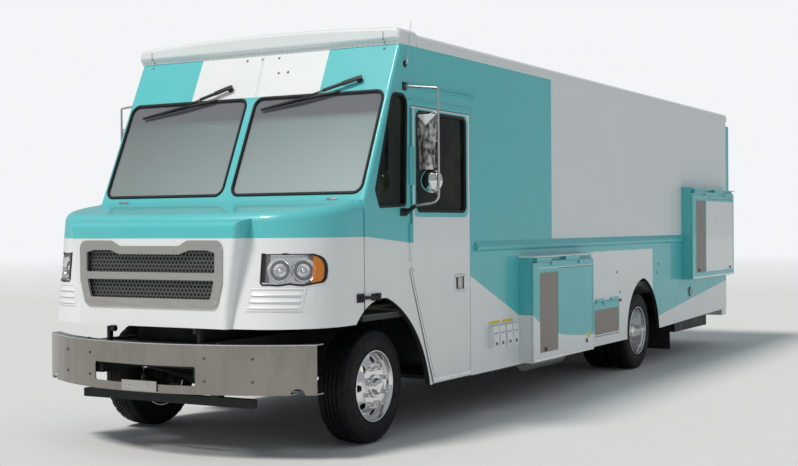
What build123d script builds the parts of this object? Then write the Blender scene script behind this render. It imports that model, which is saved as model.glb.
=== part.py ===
from build123d import *
import math
import os

# Lengths in mm, from the ground under the front axle's centre: x to the vehicle's left, y to the rear, z up.
WHEELBASE = 5480
OVERHANG = 3320
BODY_END = WHEELBASE + OVERHANG
HALF_WIDTH = 1219
WALL = 40
SILL_Z = 360
RAIL_Z = 2900
FLOOR_Z = 940
GAP = 6
CUT_X = HALF_WIDTH + 81

# Saving moves each part by SHIFT, so that the origin is under the middle of the whole
BUMPER_FRONT = -1270
PLATE = 6
REAR_BUMPER_Y = (BODY_END + 30, BODY_END + 230)
SHIFT = -(BUMPER_FRONT - PLATE + REAR_BUMPER_Y[1]) / 2

# Wheels: 19.5 in rims and 245 mm tyres, as many-sided as FACETS
FACETS = 24
TYRE_R = 418
RIM_R = 258
BEAD_R = 240
AXLE_Z = TYRE_R * math.cos(math.pi / FACETS)
FRONT_TYRE_X = 982
OUTER_DUAL_X = 1045
INNER_DUAL_X = 770
KINGPIN_X = 780
LUG_CIRCLE_R = 137.5

# Hood
HOOD_Z = 890
SEAM_Y = -320
HOOD_FRONT_Y = -1157
HOOD_PIVOT = (-1112, 862)
SHEET = 28
SKIN = 9

# Windscreen panel, a flat slope from its foot to the roof
SLOPE_FOOT = (-330, 1730)
SLOPE_TOP = (200, RAIL_Z)
PANEL = 34

os.makedirs("parts", exist_ok=True)


def save(name, shape):
    export_step(Pos(0, SHIFT, 0) * shape, f"parts/{name}.step")


def block(x0, x1, y0, y1, z0, z1):
    return Pos((x0 + x1) / 2, (y0 + y1) / 2, (z0 + z1) / 2) * Box(x1 - x0, y1 - y0, z1 - z0)


def on_side(outline, x0, x1):
    """A (y, z) outline, as points or a face, from x0 to x1."""
    face = Polygon(*outline, align=None) if isinstance(outline, list) else outline
    return extrude(Plane.YZ.offset(x0) * face, amount=x1 - x0, dir=(1, 0, 0))


def on_front(outline, y0, y1):
    """An (x, z) outline from y0 back to y1."""
    face = Polygon(*outline, align=None) if isinstance(outline, list) else outline
    return extrude(Plane.XZ.offset(-y0) * face, amount=y1 - y0, dir=(0, 1, 0))


def on_plan(outline, z0, z1):
    """An (x, y) outline from z0 up to z1."""
    face = Polygon(*outline, align=None) if isinstance(outline, list) else outline
    return extrude(Plane.XY.offset(z0) * face, amount=z1 - z0, dir=(0, 0, 1))


def rounded(points, radius):
    face = Polygon(*points, align=None)
    return fillet(face.vertices(), radius)


def rectangle(a0, a1, b0, b1):
    return [(a0, b0), (a1, b0), (a1, b1), (a0, b1)]


def mirrored(half):
    """One half's points from the bottom up, closed by the same on the other side."""
    return half + [(-x, z) for x, z in reversed(half)]


def rod(start, end, radius, sides=8):
    path = Line(start, end)
    return sweep(Plane(origin=start, z_dir=path % 0) * RegularPolygon(radius, sides), path=path)


def across(radius, x0, x1, y, z, sides=16):
    """A many-sided bar along x."""
    return on_side(Pos(y, z) * RegularPolygon(radius, sides), x0, x1)


def joined(shapes):
    return shapes[0] + shapes[1:] if len(shapes) > 1 else shapes[0]


def pin(radius, x0, x1, y, z):
    """A round bar along x."""
    return Pos((x0 + x1) / 2, y, z) * Rot(0, 90, 0) * Cylinder(radius, x1 - x0)


def flipped(shape):
    return mirror(shape, about=Plane.YZ)


def both(shape):
    return Compound(list(shape.solids()) + list(flipped(shape).solids()))


def save_pair(name, shape):
    save(f"{name}_left", shape)
    save(f"{name}_right", flipped(shape))


def turned(stations, x=0, sides=FACETS):
    """A many-sided solid along the axle through (along, radius) stations, with a flat at the bottom."""
    turns = [(k + 0.5) * 2 * math.pi / sides for k in range(sides)]
    ring = lambda along, r: [(x + along, r * math.sin(a), AXLE_Z + r * math.cos(a)) for a in turns]
    rings = [ring(along, r) for along, r in stations]
    faces = [Face(Wire.make_polygon(ring)) for ring in (rings[0], rings[-1])]
    for near, far in zip(rings, rings[1:]):
        for k in range(-1, sides - 1):
            faces.append(Face(Wire.make_polygon([near[k], near[k + 1], far[k + 1], far[k]])))
    return Solid(Shell(faces))


def around(shape, count, start=0):
    """Copies of a shape turned about the axle."""
    turn = lambda angle: Pos(0, 0, AXLE_Z) * Rot(angle, 0, 0) * Pos(0, 0, -AXLE_Z)
    return [turn(start + k * 360 / count) * shape for k in range(count)]


# Hinges: barrels in turn along the line, each with a leaf on its own side

BARREL_R = 7
LEAF = 12


def hinge(line, along, fixed, moving, start, end, count):
    """line is the axis's two other places; along is "y" or "z"; fixed and moving are leaf rectangles there.

    Returns the fixed half and the moving half."""
    halves = ([], [])
    step = (end - start) / count
    for k in range(count):
        low = start + k * step + 0.2
        high = start + (k + 1) * step - 0.2
        a0, a1, b0, b1 = (fixed, moving)[k % 2]
        if along == "z":
            barrel = Pos(*line, (low + high) / 2) * Cylinder(BARREL_R, high - low)
            leaf = block(a0, a1, b0, b1, low, high)
        else:
            barrel = Pos(line[0], (low + high) / 2, line[1]) * Rot(90, 0, 0) * Cylinder(BARREL_R, high - low)
            leaf = block(a0, a1, low, high, b0, b1)
        halves[k % 2].append(barrel + leaf)
    return joined(halves[0]), joined(halves[1])


def side_hinge(face_x, top_z, y0, y1, count):
    """The hinge of a flap on the left side that lifts about its top edge."""
    fixed = (face_x, face_x + LEAF, top_z + 11, top_z + 36)
    moving = (face_x, face_x + LEAF, top_z - 26, top_z + 3)
    return hinge((face_x + 10, top_z + 7), "y", fixed, moving, y0, y1, count)


# Wheels and tyres

TYRE_SIDE = [(-110, BEAD_R), (-114, 270), (-123, 325), (-112, 392), (-84, TYRE_R)]
TYRE_STATIONS = TYRE_SIDE + [(-along, r) for along, r in reversed(TYRE_SIDE)]
RIM_STATIONS = [(-122, RIM_R), (-111, BEAD_R), (111, BEAD_R), (122, RIM_R)]
BORE_R = 229
DISC_R = 165
DISC = 14
DISH = 48
HOLES = 8


def tyre(x):
    return turned(TYRE_STATIONS, x) - turned([(-140, BEAD_R), (140, BEAD_R)], x)


def rim(x, face, convex, holes):
    """A rim at x with its disc's convex flat at face; convex is +1 toward the outside."""
    barrel = turned(RIM_STATIONS, x) - turned([(-140, BORE_R), (140, BORE_R)], x)
    disc = turned([(face - convex * DISH, BORE_R + 2), (face - convex * 34, BORE_R + 2), (face, DISC_R)])
    disc = disc - turned([(face - convex * 60, 224), (face - convex * DISC, DISC_R - 8)])
    if holes:
        hole = across(25, face - 70, face + 70, 0, AXLE_Z + 192, 8)
        disc = disc - around(hole, HOLES)
    return barrel + disc


def hub(x0, shoulder, tip, lug_x0, lug_x1):
    """A hub with its cap out to tip, and the eight lug nuts with their covers."""
    cap = turned([(shoulder - 1, 60), (tip - 14, 54), (tip, 34)], 0, 16)
    body = turned([(x0, 80), (shoulder, 78)], 0, 16) + cap
    lug = across(16, lug_x0, lug_x1, 0, AXLE_Z + LUG_CIRCLE_R, 6)
    return body + around(lug, HOLES, 22.5)


MOUNT_X = (OUTER_DUAL_X + INNER_DUAL_X) / 2
front_wheel = rim(FRONT_TYRE_X, 1096, 1, True) + hub(960, 1112, 1152, 1090, 1134)
front_wheel = front_wheel - pin(31, 950, 1041, 0, AXLE_Z)
rear_wheels = rim(OUTER_DUAL_X, MOUNT_X, -1, True) + rim(INNER_DUAL_X, MOUNT_X, 1, False)
rear_wheels = rear_wheels + hub(740, 1060, 1118, MOUNT_X + 8, MOUNT_X + 58)
rear_wheels = rear_wheels - pin(41, 700, 1001, 0, AXLE_Z)
rear_tyres = Compound([tyre(OUTER_DUAL_X), tyre(INNER_DUAL_X)])
to_rear = Pos(0, WHEELBASE, 0)
save_pair("front_tyre", tyre(FRONT_TYRE_X))
save_pair("front_wheel", front_wheel)
save_pair("rear_tyres", to_rear * rear_tyres)
save_pair("rear_wheels", to_rear * rear_wheels)

# Axles, knuckles and springs

KINGPIN_R = 24
YOKE = 38
JAW = 76


def upright(radius, x, z0, z1):
    return Pos(x, 0, (z0 + z1) / 2) * Cylinder(radius, z1 - z0)


def boss(radius, x, z0, z1):
    return on_plan(Pos(x, 0) * RegularPolygon(radius, 12), z0, z1)


knuckle = across(46, 826, 954, 0, AXLE_Z) + pin(30, 950, 1040, 0, AXLE_Z)
knuckle = knuckle + block(826, 850, -YOKE, YOKE, AXLE_Z - JAW, AXLE_Z + JAW)
knuckle = knuckle + upright(KINGPIN_R, KINGPIN_X, AXLE_Z - JAW, AXLE_Z + JAW)
for z in (AXLE_Z + 36, AXLE_Z - JAW):
    knuckle = knuckle + [block(KINGPIN_X, 830, -YOKE, YOKE, z, z + 40), boss(YOKE + 1, KINGPIN_X, z, z + 40)]
steering_arm = block(KINGPIN_X - 15, KINGPIN_X + 15, 20, 190, AXLE_Z - 72, AXLE_Z - 48)
save_pair("knuckle", knuckle + steering_arm)

BEAM_TOP = [(760, AXLE_Z + 25), (640, AXLE_Z + 25), (540, AXLE_Z - 20)]
beam_line = BEAM_TOP + [(-x, z) for x, z in reversed(BEAM_TOP)]
beam = on_front(beam_line + [(x, z - 50) for x, z in reversed(beam_line)], -30, 30)
for x in (KINGPIN_X, -KINGPIN_X):
    beam = beam + boss(YOKE, x, AXLE_Z - 30, AXLE_Z + 30)
    beam = beam - upright(KINGPIN_R + 0.7, x, AXLE_Z - 40, AXLE_Z + 40)
save("front_axle", beam)

tube = pin(40, -1000, 1000, 0, AXLE_Z) + across(62, -735, 735, 0, AXLE_Z)
case = turned([(-150, 62), (-90, 150), (90, 150), (150, 62)], 0, 16)
rear_axle = to_rear * (tube + case)
save("rear_axle", rear_axle)

RAIL_X = (400, 475)
RAIL_LOW = 560
RAIL_HIGH = 790
SPRING = 640
springs = []
for y, seat in ((0, AXLE_Z - 20), (WHEELBASE, AXLE_Z + 62)):
    front_end = [(y - SPRING, RAIL_LOW), (y - SPRING, RAIL_LOW - 24)]
    rear_end = [(y + SPRING, RAIL_LOW - 24), (y + SPRING, RAIL_LOW)]
    springs += both(on_side(front_end + [(y - 90, seat), (y + 90, seat)] + rear_end, *RAIL_X)).solids()
save("leaf_springs", Compound(springs))

gearbox = block(-190, 190, -341, 1020, 640, 880)
engine_mount = block(-400, 400, -700, -610, 650, 740)
engine = block(-300, 300, -940, -340, 640, 1280) + [gearbox, engine_mount]
shaft = rod((0, 1020, 740), (0, WHEELBASE - 150, 440), 45, 12)
save("engine_block", engine)
save("driveshaft", shaft - engine - rear_axle)

# Front bumper: a polished channel swept back on one arc, open behind

BUMPER_HALF = HALF_WIDTH - 22
BUMPER_SWEEP = 392
BUMPER_Z = (455, 790)
BUMPER_R = (BUMPER_HALF ** 2 + BUMPER_SWEEP ** 2) / (2 * BUMPER_SWEEP)


def bumper_band(inset, depth, half):
    """The plan between two concentric arcs, out to half the width."""
    centre_y = BUMPER_FRONT + BUMPER_R
    ring = Pos(0, centre_y) * (Circle(BUMPER_R - inset) - Circle(BUMPER_R - depth))
    narrow = half * 0.97
    front, back = BUMPER_FRONT - 10, centre_y - 900
    return ring & Polygon((-half, front), (half, front), (narrow, back), (-narrow, back), align=None)


bumper = on_plan(bumper_band(0, 75, BUMPER_HALF), *BUMPER_Z)
bumper = bumper - on_plan(bumper_band(8, 90, BUMPER_HALF + 9), BUMPER_Z[0] + 8, BUMPER_Z[1] - 8)
cuts = [on_front(rounded(rectangle(-440, 440, 512, 640), 14), -1400, -1000)]
for x in (505, 820):
    for z in (545, 697):
        cuts += both(on_front(Pos(x, z) * RegularPolygon(9, 8), -1400, -900)).solids()
cuts += both(on_front(Pos(1080, BUMPER_Z[0]) * RegularPolygon(44, 16), -1200, -700)).solids()
bumper = bumper - cuts
save("front_bumper", bumper)
plate = block(-152, 152, BUMPER_FRONT - PLATE, BUMPER_FRONT, 462, 533)
for x in (-89, 89):
    plate = plate - Pos(x, BUMPER_FRONT, 500) * Rot(90, 0, 0) * Cylinder(4, 40)
save("plate_bracket", plate)

# Chassis: two rails and their cross members, with the hood's pivots and the low front beam

RAIL_END = BODY_END - 60
WEB_PLACES = (-1040, 1240, 2600, 4200, WHEELBASE + 820, RAIL_END - 140)
rails = both(block(*RAIL_X, -1230, RAIL_END, RAIL_LOW, RAIL_HIGH))
webs = [block(-RAIL_X[0], RAIL_X[0], y, y + 90, 600, 780) for y in WEB_PLACES]
chassis = joined(list(rails.solids()) + webs) - rod((0, 900, 748), (0, WHEELBASE, 430), 75, 12)
chassis = chassis - bumper - block(-500, 500, -1400, -1190, 0, 2000)
bracket = block(390, 412, HOOD_PIVOT[0] - 20, HOOD_PIVOT[0] + 20, 780, HOOD_PIVOT[1] + 18)
pivot = bracket + pin(8, 340, 400, *HOOD_PIVOT)
drop = block(*RAIL_X, -1010, -950, 400, RAIL_LOW)
low_beam = block(-750, 750, -1010, -950, 352, 412)
save("chassis_frame", chassis + [low_beam] + list(both(pivot).solids()) + list(both(drop).solids()))

TANK_X = (RAIL_X[1], HALF_WIDTH - 99)
front_tank = block(-TANK_X[1], -TANK_X[0], 2300, 3700, 330, 760)
rear_tank = block(TANK_X[0], TANK_X[1] - 10, WHEELBASE + 1470, BODY_END - 550, 285, 700)
save("underbody_tanks", Compound([front_tank, rear_tank]))
MUFFLER_X = 900
EXHAUST_Z = 300
hangers = []
for y in (3200, 3700):
    hangers.append(block(RAIL_X[1], MUFFLER_X + 15, y, y + 30, 600, 620))
    hangers.append(block(MUFFLER_X - 5, MUFFLER_X + 15, y, y + 30, 350, 620))
muffler = on_front(Pos(MUFFLER_X, EXHAUST_Z) * RegularPolygon(95, 16), 3050, 3850)
pipe = on_front(Pos(MUFFLER_X, EXHAUST_Z) * RegularPolygon(32, 10), 2300, 4300)
save("exhaust", muffler + [pipe] + hangers)

# Hood: a raised middle on lower shoulders, leaning back above, open below and behind


HOOD_TOP_Z = 1645
HOOD_LEAN = 6.56
HOOD_RISE = 0.144
SHOULDER_Y = -1150
NOSE_R = 5000
CORNER_R = 520


def below(level, level_y):
    """Everything under a top that rises to the rear through level at level_y."""
    ends = [(y, level + HOOD_RISE * (y - level_y)) for y in (-1400, SEAM_Y + 200)]
    return on_side(ends + [(SEAM_Y + 200, 500), (-1400, 500)], -CUT_X, CUT_X)


def shoulders(inset):
    """The plan is a shallow front arc, a tighter corner arc and a straight side, each tangent to the next."""
    corner_x = HALF_WIDTH - CORNER_R
    turn = math.asin(corner_x / (NOSE_R - CORNER_R))
    half_turn = (math.pi / 2 + turn) / 2
    corner_y = SHOULDER_Y + NOSE_R - (NOSE_R - CORNER_R) * math.cos(turn)
    nose = NOSE_R - inset
    bend = CORNER_R - inset
    meet = (nose * math.sin(turn), SHOULDER_Y + NOSE_R - nose * math.cos(turn))
    middle = (corner_x + bend * math.sin(half_turn), corner_y - bend * math.cos(half_turn))
    side = (corner_x + bend, corner_y)
    other = lambda p: (-p[0], p[1])
    edges = [ThreePointArc(side, middle, meet), ThreePointArc(meet, (0, SHOULDER_Y + inset), other(meet))]
    edges.append(ThreePointArc(other(meet), other(middle), other(side)))
    edges.append(Polyline(other(side), (-side[0], 200), (side[0], 200), side))
    about = Pos(0, SHOULDER_Y, HOOD_Z)
    body = about * Rot(-HOOD_LEAN, 0, 0) * about.inverse() * on_plan(make_face(edges), 200, 2100)
    body = body & below(HOOD_TOP_Z - inset, -1100)
    lid = body.faces().sort_by(Axis.Z)[-1]
    rim_edges = [e for e in lid.edges() if e.center().Y < SEAM_Y + 190]
    return fillet(rim_edges, 75 - inset)


def raised_middle(inset):
    line = mirrored([(640 - inset, 500), (668 - inset, 1030), (735 - inset, 1490), (772 - inset, 1750)])
    front = HOOD_FRONT_Y + inset
    body = on_front(line, front, front + 900) & below(1602 - inset, HOOD_FRONT_Y)
    rim_edges = [e for e in body.edges() if abs(e.center().Y - front) < 1 and e.center().Z > 600]
    return fillet(rim_edges, 40 - inset / 2)


def hood_form(inset):
    return shoulders(inset) + raised_middle(inset)


def front_arch():
    """The front wheel opening: two arcs that meet at its top, closed below."""
    fore = ThreePointArc((-470, 850), (-290, 1003), (-11, 1052))
    aft = ThreePointArc((-11, 1052), (380, 812), (628, 350))
    rest = Polyline((628, 350), (628, 100), (-470, 100), (-470, 850))
    return on_side(make_face([fore, aft, rest]), -CUT_X, CUT_X)


arch = front_arch()
full = hood_form(0)
skin = full - hood_form(SKIN)
hood = full - hood_form(SHEET)
hood = (hood & block(-CUT_X, CUT_X, -1400, SEAM_Y - GAP - 8, HOOD_Z, 2000)) - arch


outline = rounded(mirrored([(580, 1022), (627, 1200), (631, 1480), (334, 1480), (261, 1442)]), 60)
upper = rounded(mirrored([(566, 1262), (566, 1398), (500, 1413), (345, 1413), (265, 1385)]), 10)
lower = rounded(mirrored([(528, 1085), (560, 1212)]), 10)
save("grille_frame", on_front(outline - upper - lower, HOOD_FRONT_Y - 10, HOOD_FRONT_Y))
hood = hood - [on_front(upper, -CUT_X, -1050), on_front(lower, -CUT_X, -1050)]
mesh = on_front(rectangle(-600, 600, 1040, 1460), HOOD_FRONT_Y + SHEET - 2, HOOD_FRONT_Y + SHEET + 4)
save("grille_mesh", mesh - hood)

LAMP_LINE = [(846, 1388), (CUT_X, 1388), (CUT_X, 1212), (1150, 1192), (1060, 1182), (960, 1182), (846, 1200)]
LAMP_BACK_Y = -752
well = on_front(LAMP_LINE, -CUT_X, LAMP_BACK_Y)
save("headlamps", both(well & skin))
TRAY = 70
BOWLS = [(980, -940), (1077, -858)]
BOWL_Z = 1278
BOWL_R = 54
BOWL_DEPTH = 34
vents = []
for z in (1138, 1094, 1050):
    inward = (1150 - z) * 0.35
    slat = block(822 - inward, 1136 - inward * 0.6, -CUT_X, -800, z - 15, z + 15)
    vents += both(slat & skin).solids()
hood = hood - (vents + list(both(well).solids()))
ear = across(20, 350, 382, *HOOD_PIVOT) + block(350, 382, HOOD_FRONT_Y + SHEET, -1098, HOOD_PIVOT[1], 970)
ear = ear - pin(9, 300, 400, *HOOD_PIVOT)
save("hood_shell", hood + both(ear))
tray_line = rectangle(850, HALF_WIDTH - 23, 1186, 1384)
lamp_tray = on_front(tray_line, -CUT_X, LAMP_BACK_Y - 4) & (hood_form(SHEET + 1) - hood_form(TRAY))
for x, front in BOWLS:
    bowl = Pos(x, front + BOWL_DEPTH / 2, BOWL_Z) * Rot(90, 0, 0) * Cone(22, BOWL_R, BOWL_DEPTH)
    lamp_tray = lamp_tray - bowl
save("headlamp_trays", both(lamp_tray))
save("hood_latches", both(block(HALF_WIDTH, HALF_WIDTH + 20, -425, SEAM_Y - GAP - 8, 1052, 1088)))

# Cab and body

SLOPE = (SLOPE_TOP[0] - SLOPE_FOOT[0]) / (SLOPE_TOP[1] - SLOPE_FOOT[1])
COWL_Z = SLOPE_FOOT[1] + (SEAM_Y - SLOPE_FOOT[0]) / SLOPE
FIREWALL_Z = FLOOR_Z - WALL
FOOTWELL = HALF_WIDTH - 159
GLASS_X = HALF_WIDTH - 24
GLASS = 6


def slope_y(z):
    return SLOPE_TOP[0] - (RAIL_Z - z) * SLOPE


def sloped_sheet(z0, z1, front, back):
    """A sheet parallel to the sloped front, from front to back behind it."""
    low, high = slope_y(z0), slope_y(z1)
    line = [(low + front, z0), (high + front, z1), (high + back, z1), (low + back, z0)]
    return on_side(line, -HALF_WIDTH, HALF_WIDTH)


upper_front = sloped_sheet(COWL_Z, RAIL_Z, 0, PANEL)
side_edges = [e for e in upper_front.edges() if abs(abs(e.center().X) - HALF_WIDTH) < 1]
corners = [e for e in side_edges if abs(e.center().Y - slope_y(e.center().Z)) < 1]
upper_front = fillet(corners, 26)
screen = rounded(rectangle(38, HALF_WIDTH - 39, 1800, 2550), 70)
screens = both(on_front(screen, -500, 500))
firewall = block(-HALF_WIDTH, HALF_WIDTH, SEAM_Y, SEAM_Y + PANEL, FIREWALL_Z, COWL_Z) - arch
inner_firewall = block(-FOOTWELL, FOOTWELL, SEAM_Y, SEAM_Y + PANEL, FIREWALL_Z, COWL_Z)
panel = upper_front - screens + [firewall, inner_firewall]
save("windscreen_panel", panel)

QUARTER = [(75, 2531), (283, 2531), (260, 1718), (-110, 1703), (-168, 1822)]
quarter = Polygon(*QUARTER, align=None)
quarter_top = quarter.vertices().sort_by(Axis.Y)[-2:]
quarter = fillet(quarter_top, 72)
quarter = fillet(quarter.vertices().sort_by(Axis.Y)[:3], 28)
panes = list((screens & sloped_sheet(1700, 2700, 10, 10 + GLASS)).solids())
panes += both(on_side(quarter, GLASS_X, GLASS_X + GLASS)).solids()
save("fixed_glass", Compound(panes))

# Side walls: the whole side, less its arches, doors and windows
WALL_FRONT = SEAM_Y + PANEL
REAR_BOX_Y = (WHEELBASE + 1410, BODY_END - 120)
WALL_REAR = [(BODY_END, RAIL_Z), (BODY_END, 470), (WHEELBASE + 562, 402), (WHEELBASE + 520, SILL_Z)]
WALL_LINE = [(WALL_FRONT, SILL_Z), (WALL_FRONT, COWL_Z), (SLOPE_TOP[0] + PANEL, RAIL_Z)] + WALL_REAR
DOOR_LINE = [(345, 2461), (345, 1266), (303, 1240), (672, SILL_Z - 20), (1316, SILL_Z - 20), (1316, 2461)]
DOOR_Z = (SILL_Z + 6, 2455)
HATCH = (2700, 5000, 1420, 2320)
LOUVRE = (WHEELBASE - 1440, WHEELBASE - 726, 456, 790)


def rear_arch():
    fore = ThreePointArc((-470, 320), (-344, 790), (62, 984))
    aft = ThreePointArc((62, 984), (480, 690), (580, 320))
    opening = make_face([fore, aft, Line((580, 320), (-470, 320))])
    return Pos(0, WHEELBASE, 0) * on_side(opening, -CUT_X, CUT_X)


side = on_side(WALL_LINE, HALF_WIDTH - WALL, HALF_WIDTH)
side = side - [arch, rear_arch(), on_side(DOOR_LINE, 0, CUT_X), on_side(quarter, 0, CUT_X)]
drip = on_side([(280, 2600), (1402, 2590), (1402, 2602), (280, 2612)], HALF_WIDTH, HALF_WIDTH + 14)
door_leaves = ((HALF_WIDTH, HALF_WIDTH + LEAF, 312, 341), (HALF_WIDTH, HALF_WIDTH + LEAF, 349, 378))
door_fixed, door_moving = hinge((HALF_WIDTH + 10, 345), "z", *door_leaves, 1300, 2440, 4)
side = side + [drip, door_fixed]
y0, y1, z0, z1 = LOUVRE
louvre_fixed, louvre_moving = side_hinge(HALF_WIDTH, z1, y0 + 40, y1 - 40, 3)
save("left_side_wall", side - block(0, CUT_X, y0 - GAP, y1 + GAP, z0 - GAP, z1 + GAP) + louvre_fixed)
mesh_field = block(HALF_WIDTH - 5, HALF_WIDTH + 5, y0 + 14, y1 - 14, z0 + 14, z1 - 72)
save("louvre_door", block(HALF_WIDTH - WALL, HALF_WIDTH, *LOUVRE) - mesh_field + louvre_moving)
y0, y1, z0, z1 = HATCH
hatch_fixed, hatch_moving = side_hinge(HALF_WIDTH, z1, y0 + 50, y1 - 50, 4)
hatch_side = side - block(0, CUT_X, y0 - GAP, y1 + GAP, z0 - GAP, z1 + GAP) + hatch_fixed
save("right_side_wall", flipped(hatch_side))
save("serving_hatch", flipped(block(HALF_WIDTH - WALL, HALF_WIDTH, *HATCH) + hatch_moving))
save("serving_counter", block(-HALF_WIDTH - 250, -HALF_WIDTH, y0 + 40, y1 - 40, z0 - 75, z0 - 35))

door_front = [(351, DOOR_Z[1]), (351, 1262), (310, 1237), (678, DOOR_Z[0])]
door_face = rounded(door_front + [(1310, DOOR_Z[0]), (1310, DOOR_Z[1])], 5)
window = rounded(rectangle(415, 1242, 1670, 2430), 60)
surround = rounded(rectangle(379, 1278, 1634, 2448), 70)
door = on_side(door_face, HALF_WIDTH - WALL, HALF_WIDTH) + on_side(surround, HALF_WIDTH, HALF_WIDTH + 4)
pocket = on_side(rounded(rectangle(1045, 1218, 1053, 1179), 12), HALF_WIDTH - 22, HALF_WIDTH + 30)
paddle = block(HALF_WIDTH - 22, HALF_WIDTH - 8, 1120, 1200, 1088, 1144)
save_pair("cab_door", door - [on_side(window, 0, CUT_X), pocket] + [paddle, door_moving])
save_pair("cab_door_glass", on_side(window, GLASS_X, GLASS_X + GLASS))

# Roof with rolled edges, and the front cap over its front end
EAVE = 9


def roof_outline(half, edge_z, crown_z, roll, foot_z=RAIL_Z):
    """Straight sides from foot_z to edge_z, rolled over into a shallow crown."""
    shoulder = (half - roll, edge_z + roll * 0.82)
    bulge = (half - roll * 0.3, edge_z + roll * 0.6)
    across_top = ThreePointArc(shoulder, (0, crown_z), (-shoulder[0], shoulder[1]))
    near = ThreePointArc((half, edge_z), bulge, shoulder)
    far = ThreePointArc((-shoulder[0], shoulder[1]), (-bulge[0], bulge[1]), (-half, edge_z))
    below_roll = Polyline((-half, edge_z), (-half, foot_z), (half, foot_z), (half, edge_z))
    return make_face([near, across_top, far, below_roll])


eave = HALF_WIDTH + EAVE
roof = on_front(roof_outline(eave, 2955, 3048, 55), 437, BODY_END + 6)
save("roof_shell", roof - on_front(roof_outline(eave - WALL, 2930, 3008, 45), 400, BODY_END - WALL))

# The cap is a roll that stands proud of the front, over a flat flange
CAP_Y = (165, 436)
CAP_FLANGE = 26
CAP_PROUD = 30
CAP_ROLL = 30
cap = on_front(roof_outline(eave, 2972, 3056, 60, RAIL_Z + CAP_FLANGE), *CAP_Y)
cap = fillet([e for e in cap.edges() if abs(e.center().Y - CAP_Y[0]) < 1], CAP_ROLL)
cap = cap + block(6 - eave, eave - 6, CAP_Y[0] + CAP_PROUD, CAP_Y[1], RAIL_Z, RAIL_Z + CAP_FLANGE + 1)
save("front_cap", cap - on_front(roof_outline(eave - WALL, 2930, 3012, 45), SLOPE_TOP[0] + PANEL, 500))

# Rear wall with its door, and the cabinet on it
REAR_DOOR = (-450, 400, 960, 2450)
REAR_LIGHT = (-325, 275, 1750, 2250)
inner = HALF_WIDTH - WALL
x0, x1, z0, z1 = REAR_DOOR
rear = block(-inner, inner, BODY_END - WALL, BODY_END, 860, RAIL_Z)
rear = rear - block(x0 - GAP, x1 + GAP, BODY_END - 100, BODY_END + 100, z0 - GAP, z1 + GAP)
leaves = ((x0 - 40, x0 - 7, BODY_END, BODY_END + LEAF), (x0 + 1, x0 + 34, BODY_END, BODY_END + LEAF))
rear_fixed, rear_moving = hinge((x0 - 3, BODY_END + 10), "z", *leaves, 1050, 2350, 3)
save("rear_wall", rear + rear_fixed)
rear_door = block(x0, x1, BODY_END - WALL, BODY_END, z0, z1)
x0, x1, z0, z1 = REAR_LIGHT
rear_pane = rounded(rectangle(x0, x1, z0, z1), 40)
save("rear_door", rear_door - on_front(rear_pane, BODY_END - 100, BODY_END + 100) + rear_moving)
save("rear_door_glass", on_front(rear_pane, BODY_END - 24, BODY_END - 24 + GLASS))
cabinet = block(HALF_WIDTH - 659, HALF_WIDTH - 14, BODY_END, BODY_END + 200, 1300, 2850)
save("rear_cabinet", fillet(cabinet.edges().filter_by(Axis.Z).group_by(Axis.Y)[-1], 20))
rear_beam = block(69 - HALF_WIDTH, HALF_WIDTH - 69, *REAR_BUMPER_Y, 370, 500)
save("rear_bumper", rear_beam + both(block(*RAIL_X, RAIL_END, REAR_BUMPER_Y[0] + 10, 450, 700)))

# Floor: deck, the two step wells and the sills that sit on the frame
STEP_X = (790, HALF_WIDTH - WALL - 9)
STEP_Y = (640, 1330)
deck = block(-inner, inner, WALL_FRONT, BODY_END - WALL, FLOOR_Z - WALL, FLOOR_Z)
deck = deck - both(block(STEP_X[0] + 30, inner + 20, 500, STEP_Y[1], 800, 1000))
well = block(STEP_X[0], STEP_X[0] + 30, *STEP_Y, 400, FLOOR_Z) + block(*STEP_X, STEP_Y[0], 1310, 400, 430)
sill = block(*RAIL_X, 60, RAIL_END, RAIL_HIGH, FLOOR_Z - 30)
deck = deck + list(both(well).solids()) + list(both(sill).solids())
save("floor_deck", deck)

# Boxes that stand proud of the left side, each with a door hinged at its top

BOX_DEPTH = 112
BOX_DOOR = 16
BOX_RIM = 34


def side_box(y0, y1, z0, z1):
    face = HALF_WIDTH + BOX_DEPTH
    body = block(HALF_WIDTH, face, y0, y1, z0, z1)
    rim_z = BOX_RIM + 10
    body = body - block(HALF_WIDTH + 4, face + 10, y0 + BOX_RIM, y1 - BOX_RIM, z0 + rim_z, z1 - rim_z)
    rail_line = [(HALF_WIDTH, z1), (face + 30, z1), (face + 34, z1 + 10), (HALF_WIDTH, z1 + 22)]
    return body + on_front(rail_line, y0 - 8, y1 + 8)


def box_door(y0, y1, z0, top, mesh, field, mesh_end):
    """The door's outer face has two sunk fields: the mesh and the plain panel beside it."""
    x0 = HALF_WIDTH + BOX_DEPTH + GAP
    body = block(x0, x0 + BOX_DOOR, y0 + 2, y1 - 2, z0 + 6, top)
    sunk = [block(x0 + BOX_DOOR - 5, x0 + 40, y0 + mesh, y0 + mesh_end, z0 + 70, top - 90)]
    sunk.append(block(x0 + BOX_DOOR - 2, x0 + 40, y0 + field, y1 - 32, z0 + 38, top - 58))
    return body - sunk


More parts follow.
